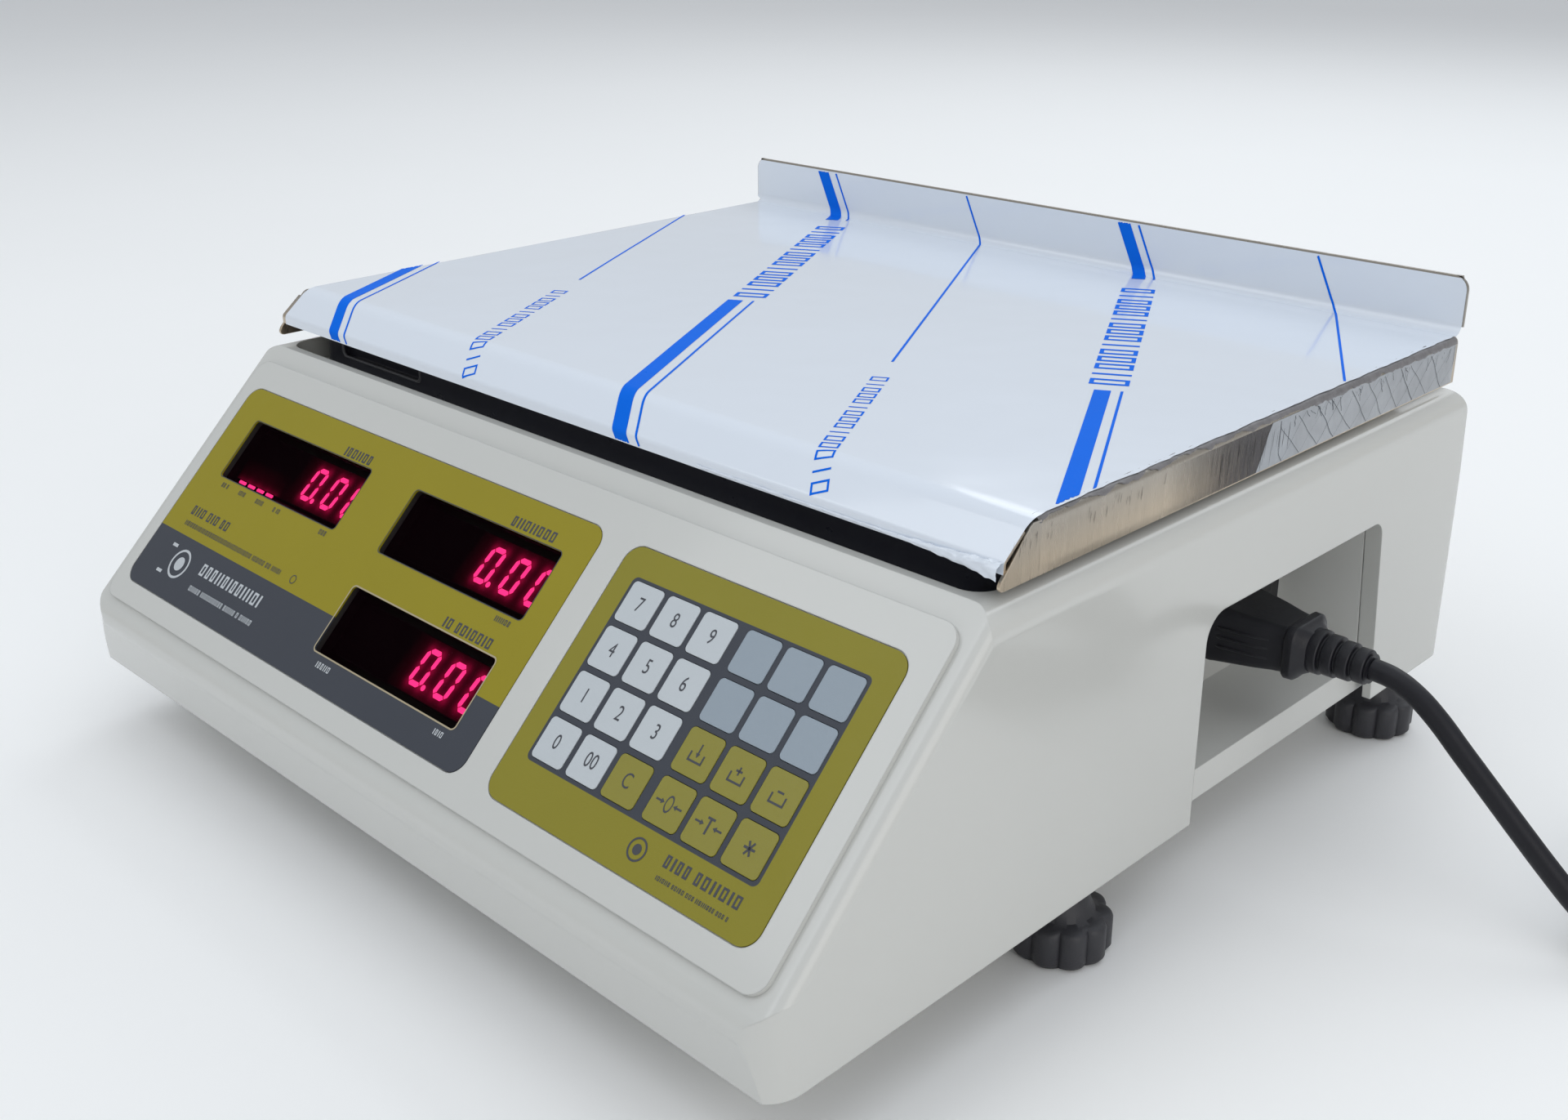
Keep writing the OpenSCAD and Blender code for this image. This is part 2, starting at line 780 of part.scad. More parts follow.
module load_cell() {
    low = cell_y - cell_wide / 2;
    mid_z = cell_z + cell_high / 2;
    color([0.7, 0.7, 0.72]) difference() {
        block([-cell_len / 2, low, cell_z], [cell_len / 2, low + cell_wide, cell_z + cell_high]);
        // The two joined cross holes that let the beam flex
        for (s = [-1, 1]) translate([s * flex_pitch / 2, low - 1, mid_z]) rotate([-90, 0, 0])
            cylinder(r = flex_r, h = cell_wide + 2);
        block([-flex_pitch / 2, low - 1, mid_z - flex_slot / 2],
            [flex_pitch / 2, low + cell_wide + 1, mid_z + flex_slot / 2]);
        for (x = [-cell_end, cell_end]) for (s = [-1, 1])
            translate([x, cell_y + s * bolt_pitch / 2, cell_z - 1])
                cylinder(r = bolt_r + bolt_gap, h = cell_high + 2);
    }
}

// Four like socket-head bolts: a pair up through the plinth, a pair up into the column
module load_cell_bolts() {
    color(STEEL) for (end = [[-cell_end, pan_z + 1], [cell_end, cell_z - bolt_head_h]]) for (s = [-1, 1])
        translate([end[0], cell_y + s * bolt_pitch / 2, end[1]]) difference() {
            union() {
                cylinder(r = bolt_head_r, h = bolt_head_h);
                translate([0, 0, bolt_head_h - 0.5]) cylinder(r = bolt_r, h = bolt_len + 0.5);
            }
            translate([0, 0, -1]) cylinder(r = hex_r, h = 4, $fn = 6);
        }
}

// ---------- electronics ----------

module main_board() {
    z = pan_z + board_post_h;
    face = z + board_t;
    color([0.05, 0.25, 0.12])
        block([main_board_x[0], main_board_y[0], z], [main_board_x[1], main_board_y[1], face]);
    color(BLACK) {
        for (c = components) block([c[0][0], c[0][1], face - solder], [c[1][0], c[1][1], face + c[2]]);
        for (c = capacitors) translate([c[0], c[1], face - solder]) cylinder(r = 5, h = 16);
    }
}

module transformer() {
    color([0.35, 0.35, 0.37]) {
        block([core_lo[0], core_lo[1], floor_z], [core_hi[0], core_hi[1], floor_z + core_h]);
        // Fixing tabs
        block([core_lo[0] - tabs_over, core_lo[1] + 4, floor_z],
            [core_hi[0] + tabs_over, core_hi[1] - 4, floor_z + 2]);
    }
    // Windings, standing out of the core front and back
    color([0.75, 0.6, 0.3]) block([core_lo[0] + 10, core_lo[1] - winding_over, floor_z + 8],
        [core_hi[0] - 10, core_hi[1] + winding_over, floor_z + core_h - 8]);
}

module battery() {
    color(BLACK) {
        slab(battery_lo, battery_hi, 3, floor_z, floor_z + battery_h);
        block([battery_lo[0] + 6, battery_lo[1] + 4, floor_z + battery_h - 1],
            [battery_hi[0] - 6, battery_hi[1] - 4, floor_z + battery_h + 4]);
    }
}

module power_inlet() {
    z = inlet_z;
    color(BLACK) difference() {
        union() {
            from_x(pocket_x, bezel_x)
                round_rect([bezel_y[0], z - bezel_high], [bezel_y[1], z + bezel_high], 2);
            cut_box(inlet_y, inlet_cut - [0.3, 0.3], pocket_x - 20, pocket_x + 1);
            cut_box(rocker_y, rocker_cut - [0.3, 0.3], pocket_x - 16, pocket_x + 1);
        }
        cut_box(inlet_y, socket_half, pocket_x - 17, bezel_x + 1);
        cut_box(rocker_y, rocker_hole, pocket_x - 8, bezel_x + 1);
        translate([pivot_x, rocker_y, z - pivot_half - pivot_fit[1]])
            cylinder(r = pivot_r + pivot_fit[0], h = 2 * (pivot_half + pivot_fit[1]));
    }
}

// Rocker with a shallow V face, tipped to its "on" side, and its two pivot stubs
module switch_rocker() {
    h = rocker_len / 2;
    color(BLACK) translate([pivot_x, rocker_y, inlet_z]) rotate(rocker_rest) {
        translate([0, 0, -rocker_wide / 2]) linear_extrude(rocker_wide)
            polygon([[4.2, -h], [2.2, 0], [4.2, h], [-5, h - 2], [-6, 0], [-5, 2 - h]]);
        translate([0, 0, -pivot_half]) cylinder(r = pivot_r, h = 2 * pivot_half);
    }
}

// ---------- feet ----------

module foot_stud(i) {
    color(STEEL) translate([feet[i][0], feet[i][1], 5]) cylinder(r = stud_r, h = 39);
}

module foot_knob(i) {
    lobes = 10;
    color(BLACK) translate([feet[i][0], feet[i][1], 0]) difference() {
        union() {
            difference() {
                cylinder(r = foot_r, h = knob_grip_h);
                for (a = [0:lobes - 1]) rotate(a * 360 / lobes) translate([foot_r + 1.2, 0, -1])
                    cylinder(r = 3, h = knob_grip_h + 2, $fn = 24);
            }
            translate([0, 0, knob_grip_h - 0.2])
                cylinder(r1 = foot_r - 2.2, r2 = 7, h = knob_h - knob_grip_h + 0.2);
        }
        translate([0, 0, 4.5]) cylinder(r = stud_r + stud_fit, h = knob_h);
    }
}

// ---------- mains lead ----------

SIDES = 10;

// One ring of a tube, round point p and square to direction d
function ring(p, d, r) =
    let (side = unit(cross([0.01, 0.02, 1], d)), top = cross(d, side))
    [for (k = [0:SIDES - 1]) p + r * (side * cos(k * 360 / SIDES) + top * sin(k * 360 / SIDES))];

// Direction of travel at route point i
function heading(route, i) = unit(route[min(i + 1, len(route) - 1)] - route[max(i - 1, 0)]);

module tube(route, r) {
    n = len(route);
    points = [for (i = [0:n - 1]) each ring(route[i], i == 0 ? route_start(route) : heading(route, i), r)];
    sides = [for (i = [0:n - 2]) for (k = [0:SIDES - 1]) let (m = (k + 1) % SIDES)
        [i * SIDES + k, (i + 1) * SIDES + k, (i + 1) * SIDES + m, i * SIDES + m]];
    caps = [[for (k = [0:SIDES - 1]) k], [for (k = [0:SIDES - 1]) n * SIDES - 1 - k]];
    polyhedron(points, concat(sides, caps), convexity = 4);
}

// The lead leaves the connector square to X, and the coil along +Y
function route_start(route) = route[0][0] == connector_end ? [1, 0, 0] : [0, 1, 0];

module power_cord() {
    color(BLACK) {
        tube(lead_run, lead_d / 2);
        tube(lead_tail, lead_d / 2);
    }
}

module cord_coil() {
    half = coil_cols * lead_d / 2;
    color(BLACK) translate([coil_x, coil_y, 0]) rotate_extrude()
        round_rect([coil_r - half, 0], [coil_r + half, coil_layers * lead_d], 3);
}

// Line-socket connector pushed home in the inlet, with a ribbed strain relief
module cord_connector() {
    y = inlet_y;
    z = inlet_z;
    neck_x = 184;
    ribs = 4;
    color(BLACK) {
        block([pocket_x - 10, y - 12, z - 8], [bezel_x + 1, y + 12, z + 8]);
        from_x(bezel_x + 0.3, 176) round_rect([y - 13.5, z - 10], [y + 13.5, z + 10], 3);
        from_x(175, 181) round_rect([y - 11, z - 8.5], [y + 11, z + 8.5], 4);
        from_x(180, neck_x) round_rect([y - 12, z - 9.5], [y + 12, z + 9.5], 5);
        translate([neck_x - 1, y, z]) rotate([0, 90, 0]) difference() {
            cylinder(r1 = 6.6, r2 = 5, h = connector_end - neck_x + 1);
            for (i = [0:ribs - 1]) translate([0, 0, 4 + 3.5 * i]) rotate_extrude()
                translate([4.6 - 0.2 * i, 0]) square([5, 1.1]);
        }
    }
}

// Mains plug with two flat blades and an earth pin, lying on the counter beside the coil
module wall_plug() {
    x = plug_axis_x;
    z = plug_axis_z;
    y0 = plug_y;
    color(BLACK) {
        translate([x, y0, z]) rotate([-90, 0, 0]) cylinder(r1 = 4.6, r2 = 7, h = 21);
        translate([0, y0 + 46, 0]) rotate([90, 0, 0]) linear_extrude(26)
            round_rect([x - 13, z - 13], [x + 13, z + 13], 5);
    }
    color(STEEL) {
        for (s = [-1, 1]) translate([x + s * blade_pitch / 2, 0, 0])
            block([-blade_t / 2, y0 + 45, z - 6.5], [blade_t / 2, y0 + 62, z]);
        translate([x, y0 + 45, z + 7]) rotate([-90, 0, 0]) cylinder(r = earth_r, h = 19);
    }
}

// ---------- nodes ----------

top_cover();
base_housing();
display_overlay();
keypad_overlay();
keypad_base();
display_lens();
led_modules();
display_board();
rear_overlay();
rear_board();
board_screws();
platter();
platter_film();
platter_support();
support_pads();
load_cell();
load_cell_bolts();
main_board();
transformer();
battery();
power_inlet();
switch_rocker();
bubble_level();
housing_screws();
foot_stud(0);  // foot_stud_fl
foot_stud(1);  // foot_stud_fr
foot_stud(2);  // foot_stud_bl
foot_stud(3);  // foot_stud_br
foot_knob(0);  // foot_knob_fl
foot_knob(1);  // foot_knob_fr
foot_knob(2);  // foot_knob_bl
foot_knob(3);  // foot_knob_br
number_key("0");  // key_0
number_key("00");  // key_00
number_key("clear");  // key_clear
number_key("1");  // key_1
number_key("2");  // key_2
number_key("3");  // key_3
number_key("4");  // key_4
number_key("5");  // key_5
number_key("6");  // key_6
number_key("7");  // key_7
number_key("8");  // key_8
number_key("9");  // key_9
function_key("zero");  // key_zero
function_key("tare");  // key_tare
function_key("star");  // key_star
function_key("save");  // key_save
function_key("mw");  // key_mw
function_key("mr");  // key_mr
function_key("f1");  // key_f1
function_key("f2");  // key_f2
function_key("f3");  // key_f3
function_key("f4");  // key_f4
function_key("f5");  // key_f5
function_key("f6");  // key_f6
power_cord();
cord_coil();
cord_connector();
wall_plug();
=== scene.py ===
"""Looks of a price-computing counter scale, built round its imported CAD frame.

The scene is in metres; tables and helper functions are in mm.
"""
import math
import random

import bpy
import bmesh
from mathutils import Matrix, Vector, noise


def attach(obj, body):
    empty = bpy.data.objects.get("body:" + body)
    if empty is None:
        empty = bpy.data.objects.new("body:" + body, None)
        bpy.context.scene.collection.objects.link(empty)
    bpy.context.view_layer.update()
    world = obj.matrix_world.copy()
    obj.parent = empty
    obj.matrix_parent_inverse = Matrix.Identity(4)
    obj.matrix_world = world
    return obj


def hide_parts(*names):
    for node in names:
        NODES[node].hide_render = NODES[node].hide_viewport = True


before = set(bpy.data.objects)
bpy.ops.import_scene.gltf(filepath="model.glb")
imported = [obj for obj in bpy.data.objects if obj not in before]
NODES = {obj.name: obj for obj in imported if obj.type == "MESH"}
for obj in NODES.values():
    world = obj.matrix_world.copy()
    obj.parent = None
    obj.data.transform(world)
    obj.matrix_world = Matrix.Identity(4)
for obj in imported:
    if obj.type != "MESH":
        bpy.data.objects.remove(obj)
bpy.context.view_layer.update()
MM = 0.001
scene = bpy.context.scene
random.seed(7)

# ------------ frames of the part, in mm
PANEL_Y, PANEL_Z = -171.2, 52.0            # lower edge of the operator panel's pad
BACK_Y, CLEARANCE = 175.0, 25.0            # foot of the back wall
WALL_TILT = math.atan(9 / 103)
HALF = math.sqrt(0.5)
WINDOWS = [(-110, 67.3), (-8, 67.3), (-8, 30.8)]
REAR_WINDOWS = [(-80, 70), (0, 70), (80, 70)]
LED_FACE = -6.0


def panel(u, v, w):
    """A point of the operator panel: u to the right, v up the slope, w out of it."""
    return (u, PANEL_Y + (v - w) * HALF, PANEL_Z + (v + w) * HALF)


def back_wall(u, v, w):
    """A point of the back wall: u to the customer's right, v up the wall, w out of it."""
    c, s = math.sin(WALL_TILT), math.cos(WALL_TILT)
    return (-u, BACK_Y - v * c + w * s, CLEARANCE + v * s + w * c)


# ------------ camera, light, floor
CAMERA_PLACE = (0.4039, -0.3969, 0.3006)
CAMERA_TURN = (44.42, 21.01, -0.02)        # azimuth from the operator's side, elevation, roll, in degrees
SENSOR, FOCAL, SHIFT = 36, 39.099375, (-0.0108, -0.035)      # mm, mm, shares of the width


def add_object(name, data):
    """A new object in the scene."""
    ob = bpy.data.objects.new(name, data)
    scene.collection.objects.link(ob)
    return ob


def add_camera():
    data = bpy.data.cameras.new("camera")
    cam = add_object("camera", data)
    az, el, roll = (math.radians(a) for a in CAMERA_TURN)
    back = Vector((math.sin(az) * math.cos(el), -math.cos(az) * math.cos(el), math.sin(el)))
    right = Vector((math.cos(az), math.sin(az), 0))
    up = back.cross(right)
    turn = Matrix.Rotation(roll, 3, back)
    right, up = turn @ right, turn @ up
    cam.matrix_world = Matrix.Translation(CAMERA_PLACE) @ Matrix((right, up, back)).transposed().to_4x4()
    data.sensor_width, data.lens = SENSOR, FOCAL
    data.shift_x, data.shift_y = SHIFT
    data.clip_start, data.clip_end = 0.01, 50
    scene.camera = cam


def add_light(name, place, aim, size, power, color):
    """A rectangular soft box at place, pointed at aim."""
    data = bpy.data.lights.new(name, "AREA")
    data.shape, data.size, data.size_y = "RECTANGLE", size[0], size[1]
    data.energy, data.color = power, color
    light = add_object(name, data)
    light.location = place
    light.rotation_euler = (Vector(aim) - Vector(place)).to_track_quat("-Z", "Y").to_euler()


WORLD_STRENGTH = 0.65
WORLD_LOW, WORLD_SIDE, WORLD_HIGH = (0.80, 0.77, 0.72, 1), (0.74, 0.75, 0.76, 1), (0.86, 0.92, 1.0, 1)


def add_world():
    """An even studio: warm below, grey round the sides and cool above."""
    world = bpy.data.worlds.new("studio")
    scene.world = world
    world.use_nodes = True
    tree = world.node_tree
    tree.nodes.clear()
    out, bg, ramp, split, coord = (tree.nodes.new("ShaderNode" + kind) for kind in (
        "OutputWorld", "Background", "ValToRGB", "SeparateXYZ", "TexCoord"))
    tree.links.new(coord.outputs["Generated"], split.inputs[0])
    tree.links.new(split.outputs["Z"], ramp.inputs[0])
    tree.links.new(ramp.outputs[0], bg.inputs["Color"])
    tree.links.new(bg.outputs[0], out.inputs["Surface"])
    stops = ramp.color_ramp.elements
    stops[0].position, stops[0].color = 0.0, WORLD_LOW
    stops[1].position, stops[1].color = 1.0, WORLD_HIGH
    stops.new(0.25).color = WORLD_SIDE
    bg.inputs["Strength"].default_value = WORLD_STRENGTH


# ------------ materials
GRAIN_DEPTH = 0.0002                       # in metres, as every length inside a material


class Mat:
    """A Principled material whose nodes add fine colour, gloss and height variation."""

    def __init__(self, name, color, rough=0.4, vary=0.05, vary_scale=45, grain=0.1, grain_scale=1600,
                 gloss_vary=0.06, edge=0.0, stretch=(1, 1, 1), **sockets):
        self.mat = bpy.data.materials.new(name)
        self.mat.use_nodes = True
        self.tree = self.mat.node_tree
        self.wire = self.tree.links.new
        self.bsdf = self.tree.nodes["Principled BSDF"]
        self.coord = self.node("TexCoord").outputs["Object"]
        self.place = self.node("Mapping", self.coord, Scale=stretch).outputs[0]
        self.cloud = self.noise(vary_scale, 3)
        dark = [c * (1 - vary) for c in color]
        light = [min(1, c * (1 + vary)) for c in color]
        self.color = self.blend(self.cloud, dark, light)
        gloss = self.node("MapRange", self.noise(vary_scale * 6, 2),
                          To_Min=max(0.02, rough - gloss_vary), To_Max=min(1, rough + gloss_vary))
        self.link(gloss.outputs[0], "Roughness")
        self.bump = self.node("Bump", Strength=grain, Distance=GRAIN_DEPTH)
        self.wire(self.noise(grain_scale, 2), self.bump.inputs["Height"])
        if edge:
            bevel = self.node("Bevel", Radius=edge)
            bevel.samples = 4
            self.wire(bevel.outputs[0], self.bump.inputs["Normal"])
        self.link(self.bump.outputs[0], "Normal")
        self.link(self.color, "Base Color")
        self.set(self.bsdf, sockets)

    def set(self, node, values):
        """Gives sockets their values; a name's underscores stand for spaces."""
        for key, value in values.items():
            node.inputs[key.replace("_", " ")].default_value = value

    def node(self, kind, first=None, **values):
        """A new node with its first input linked and the others set by name."""
        n = self.tree.nodes.new("ShaderNode" + kind)
        if first is not None:
            self.wire(first, n.inputs[0])
        self.set(n, values)
        return n

    def feed(self, socket, value):
        """Links an output to a socket, or sets the socket to a number or a colour."""
        if isinstance(value, (int, float)):
            socket.default_value = value
        elif isinstance(value, (list, tuple)):
            socket.default_value = (*value, 1.0)
        else:
            self.wire(value, socket)

    def link(self, out, socket):
        self.wire(out, self.bsdf.inputs[socket])

    def noise(self, scale, detail):
        n = self.node("TexNoise", Scale=scale, Detail=detail)
        self.wire(self.place, n.inputs["Vector"])
        return n.outputs["Fac"]

    def blend(self, factor, a, b):
        """Mixes two colours, or colour outputs, by factor."""
        mix = self.node("Mix", factor)
        mix.data_type = "RGBA"
        self.feed(mix.inputs[6], a)
        self.feed(mix.inputs[7], b)
        return mix.outputs[2]

    def math(self, op, *values):
        n = self.node("Math")
        n.operation = op
        for socket, value in zip(n.inputs, values):
            self.feed(socket, value)
        return n.outputs[0]

    def axes(self):
        return self.node("SeparateXYZ", self.coord).outputs

    def above(self, value, limit, soft=0.00006):
        """1 where value is over limit, with a fine soft edge."""
        n = self.node("MapRange", From_Min=limit - soft, From_Max=limit + soft)
        self.feed(n.inputs[0], value)
        return n.outputs[0]


def paint(node_name, maker):
    """Gives a CAD node its material."""
    data = NODES[node_name].data
    data.materials.clear()
    data.materials.append(maker.mat)


OLIVE = (0.285, 0.238, 0.005)
OLIVE_PAD = (0.246, 0.218, 0.016)
PRINT_GREY = (0.042, 0.048, 0.063)
INK = (0.040, 0.043, 0.055)

shell = Mat("shell_gloss", (0.575, 0.580, 0.558), rough=0.17, vary=0.012, vary_scale=12, grain=0.05,
            grain_scale=900, gloss_vary=0.03, edge=0.0006, Coat_Weight=0.35, Coat_Roughness=0.08)
base_abs = Mat("base_abs", (0.63, 0.635, 0.615), rough=0.38, vary=0.03, vary_scale=20, grain=0.22,
               grain_scale=2400, edge=0.0005)
black_abs = Mat("support_abs", (0.026, 0.027, 0.038), rough=0.30, vary=0.15, vary_scale=30, grain=0.2,
                grain_scale=2600, edge=0.0006)
inlet_black = Mat("inlet_black", (0.014, 0.014, 0.016), rough=0.36, vary=0.1, grain=0.2, edge=0.0003)
rubber = Mat("pad_rubber", (0.03, 0.03, 0.03), rough=0.75, vary=0.2, grain=0.4)
foot_black = Mat("foot_abs", (0.030, 0.030, 0.036), rough=0.48, vary=0.25, vary_scale=90, grain=0.45,
                 grain_scale=2200)
cord_black = Mat("cord_pvc", (0.008, 0.008, 0.012), rough=0.42, vary=0.2, vary_scale=160, grain=0.25,
                 grain_scale=2600, Specular_IOR_Level=0.32)
plug_black = Mat("plug_pvc", (0.010, 0.010, 0.014), rough=0.42, vary=0.15, vary_scale=120, grain=0.3,
                 grain_scale=2400, Specular_IOR_Level=0.38)
steel = Mat("zinc_steel", (0.55, 0.55, 0.54), rough=0.3, vary=0.08, vary_scale=120, grain=0.15,
            gloss_vary=0.1, edge=0.0002, Metallic=1.0)
aluminium = Mat("cell_aluminium", (0.72, 0.72, 0.74), rough=0.34, vary=0.05, vary_scale=70, grain=0.2,
                stretch=(1, 12, 12), edge=0.0003, Metallic=1.0)
board_green = Mat("circuit_board", (0.02, 0.13, 0.055), rough=0.35, vary=0.18, vary_scale=260, grain=0.3)
iron = Mat("transformer_iron", (0.10, 0.095, 0.09), rough=0.5, vary=0.2, vary_scale=200, grain=0.6,
           grain_scale=900, stretch=(1, 8, 1), Metallic=0.6)
battery_abs = Mat("battery_case", (0.03, 0.03, 0.035), rough=0.42, vary=0.1, grain=0.3, edge=0.0004)
level_green = Mat("level_vial", (0.42, 0.66, 0.08), rough=0.06, vary=0.1, grain=0.02, edge=0.0004,
                  Transmission_Weight=0.6, IOR=1.49)
led_black = Mat("led_face", (0.004, 0.002, 0.003), rough=0.7, vary=0.1, grain=0.05, grain_scale=200)
backing = Mat("keypad_backing", (0.05, 0.055, 0.065), rough=0.5, vary=0.1, grain=0.2)
KEY_LOOK = dict(vary_scale=90, grain=0.14, grain_scale=3200, edge=0.0003)
key_white = Mat("key_white", (0.51, 0.55, 0.58), rough=0.36, vary=0.012, **KEY_LOOK)
key_blank = Mat("key_blank", (0.270, 0.325, 0.38), rough=0.36, vary=0.02, **KEY_LOOK)
key_olive = Mat("key_olive", (0.240, 0.215, 0.018), rough=0.40, vary=0.03, **KEY_LOOK)
ink = Mat("print_ink", INK, rough=0.42, vary=0.08, grain=0.05)
pale_ink = Mat("print_ink_pale", (0.50, 0.53, 0.56), rough=0.42, vary=0.05, grain=0.05)
blue_ink = Mat("film_ink_blue", (0.006, 0.145, 0.76), rough=0.3, vary=0.06, vary_scale=60, grain=0.05,
               Specular_IOR_Level=0.01)
lens = Mat("tinted_window", (0.004, 0.001, 0.002), rough=0.11, vary=0.2, grain=0.01, grain_scale=160,
           gloss_vary=0.02, Alpha=0.5, Specular_IOR_Level=0.0)


def overlay_material(name, olive, v_axis, extra):
    """Printed membrane: olive with what extra(mat, u, v) puts in dark grey."""
    m = Mat(name, olive, rough=0.42, vary=0.035, vary_scale=26, grain=0.16, grain_scale=3000, edge=0.0002,
            Specular_IOR_Level=0.3)
    x, y, z = m.axes()
    v = v_axis(m, y, z)
    dark = extra(m, x, v)
    grey = m.blend(m.cloud, [c * 0.95 for c in PRINT_GREY], [c * 1.05 for c in PRINT_GREY])
    m.link(m.blend(dark, m.color, grey), "Base Color")
    return m


def panel_v(m, y, z):
    """Distance up the operator panel, in metres."""
    dy = m.math("MULTIPLY", m.math("SUBTRACT", y, PANEL_Y * MM), HALF)
    return m.math("ADD", dy, m.math("MULTIPLY", m.math("SUBTRACT", z, PANEL_Z * MM), HALF))


def below(limit):
    """Print that fills everything under limit."""
    return lambda m, u, v: m.math("SUBTRACT", 1.0, m.above(v, limit))


def keypad_print(m, u, v):
    """The dark field behind the keys, with rounded corners."""
    r, squares = KEY_FIELD_R, []
    for value, (low, high) in ((u, KEY_FIELD_U), (v, KEY_FIELD_V)):
        off = m.math("ABSOLUTE", m.math("SUBTRACT", value, (low + high) / 2))
        past = m.math("MAXIMUM", m.math("SUBTRACT", off, (high - low) / 2 - r), 0.0)
        squares.append(m.math("MULTIPLY", past, past))
    return m.math("SUBTRACT", 1.0, m.above(m.math("SQRT", m.math("ADD", *squares)), r))


DISPLAY_BAND, REAR_BAND = 0.0309, 0.0785   # upper edges of the grey bands, up the panel and in height
KEY_FIELD_U, KEY_FIELD_V, KEY_FIELD_R = (0.0610, 0.1520), (0.0224, 0.0812), 0.002
display_film = overlay_material("display_print", OLIVE, panel_v, below(DISPLAY_BAND))
keypad_film = overlay_material("keypad_print", OLIVE_PAD, panel_v, keypad_print)
rear_film = overlay_material("rear_print", OLIVE, lambda m, y, z: z, below(REAR_BAND))

FINISHES = [
    (shell, "top_cover"), (base_abs, "base_housing"), (black_abs, "platter_support"),
    (display_film, "display_overlay"), (keypad_film, "keypad_overlay"), (rear_film, "rear_overlay"),
    (backing, "keypad_base"), (lens, "display_lens"), (led_black, "led_modules"), (rubber, "support_pads"),
    (board_green, "display_board rear_board main_board"), (aluminium, "load_cell"),
    (steel, "board_screws load_cell_bolts housing_screws"), (iron, "transformer"), (battery_abs, "battery"),
    (inlet_black, "power_inlet switch_rocker"), (level_green, "bubble_level"),
    (key_white, "key_0 key_00 key_1 key_2 key_3 key_4 key_5 key_6 key_7 key_8 key_9"),
    (key_olive, "key_clear key_zero key_tare key_star key_save key_mw key_mr"),
    (key_blank, "key_f1 key_f2 key_f3 key_f4 key_f5 key_f6"),
]
KEY_ROWS = ["0 00 clear zero tare star", "1 2 3 save mw mr", "4 5 6 f1 f2 f3", "7 8 9 f4 f5 f6"]
SYMBOL_KEYS = ("zero", "tare", "star", "save", "mw", "mr")
FEET = {"fl": (-162, -41.5), "fr": (162, -41.5), "bl": (-162, 149.5), "br": (162, 149.5)}
for finish, names in FINISHES:
    for name in names.split():
        paint(name, finish)


# ------------ mesh helpers
def piece(name, verts, faces, finish, body, slot, angle=40):
    """A mesh piece from points in mm, shaded smooth below angle, riding on body."""
    mesh = bpy.data.meshes.new(name)
    mesh.from_pydata([[c * MM for c in v] for v in verts], [], faces)
    mesh.validate()
    ob = add_object(name, mesh)
    mesh.materials.append(finish.mat)
    shade(mesh, angle)
    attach(ob, body)
    return ob


def shade(mesh, angle):
    mesh.shade_smooth()
    mesh.set_sharp_from_angle(angle=math.radians(angle))


def finish_mesh(ob, mods, angle=40):
    """Adds the modifiers (kind, settings) and applies them."""
    for kind, settings in mods:
        mod = ob.modifiers.new(kind, kind)
        for key, value in settings.items():
            setattr(mod, key, value)
    dg = bpy.context.evaluated_depsgraph_get()
    mesh = bpy.data.meshes.new_from_object(ob.evaluated_get(dg))
    ob.modifiers.clear()
    ob.data = mesh
    shade(mesh, angle)
    return ob


def soft_edge(width, segments=2):
    return ("BEVEL", {"width": width * MM, "segments": segments, "limit_method": "ANGLE",
                      "angle_limit": math.radians(35)})


def rounded_rect(hy, hz, r, count=48):
    """Points round a rounded rectangle of half sizes hy and hz, starting on +Y, evenly spread by angle."""
    r = min(r, hy - 1e-3, hz - 1e-3)
    pts, per = [], count // 4
    for k, (sy, sz) in enumerate(((1, 1), (-1, 1), (-1, -1), (1, -1))):
        for i in range(per):
            a = math.radians(90 * k + 90 * i / (per - 1))
            pts.append((sy * (hy - r) + r * math.cos(a), sz * (hz - r) + r * math.sin(a)))
    return pts


def circle(r, count, u=0.0, v=0.0):
    """Points round a circle about u, v."""
    return [(u + r * math.cos(2 * math.pi * k / count), v + r * math.sin(2 * math.pi * k / count))
            for k in range(count)]


def ring_faces(n, rings):
    """Quads between rings of n points each, one after the other."""
    return [[i * n + k, i * n + (k + 1) % n, (i + 1) * n + (k + 1) % n, (i + 1) * n + k]
            for i in range(rings - 1) for k in range(n)]


def hoop_faces(n, rings):
    """Quads between rings of n points each, the last joined to the first."""
    return [[i % (n * rings) for i in face] for face in ring_faces(n, rings + 1)]


def loft(sections, place):
    """Closed skin through sections, each (along, [(a, b)...]); place turns (along, a, b) into a point."""
    verts = [place(s, a, b) for s, ring in sections for a, b in ring]
    n, last = len(sections[0][1]), (len(sections) - 1) * len(sections[0][1])
    ends = [list(range(n))[::-1], [last + k for k in range(n)]]
    return verts, ring_faces(n, len(sections)) + ends


def joined(parts):
    """One vertex and face list from several."""
    verts, faces = [], []
    for v, f in parts:
        base = len(verts)
        verts += v
        faces += [[i + base for i in face] for face in f]
    return verts, faces


def steps(a, b, count):
    return [a + (b - a) * i / count for i in range(count + 1)]


def grid(columns, rows, place):
    """A sheet of quads; place(column, row) gives each point."""
    verts = [place(c, r) for r in rows for c in columns]
    n = len(columns)
    faces = [[j * n + i, j * n + i + 1, (j + 1) * n + i + 1, (j + 1) * n + i]
             for j in range(len(rows) - 1) for i in range(n - 1)]
    return verts, faces


def ribbon(line, x, rise=0.0):
    """A strip along points (half width, y, z) at x, its far edge raised by rise."""
    verts = [p for w, y, z in line for p in ((x, y - w, z), (x, y + w, z + rise))]
    return verts, [[2 * i + k for k in (0, 1, 3, 2)] for i in range(len(line) - 1)]


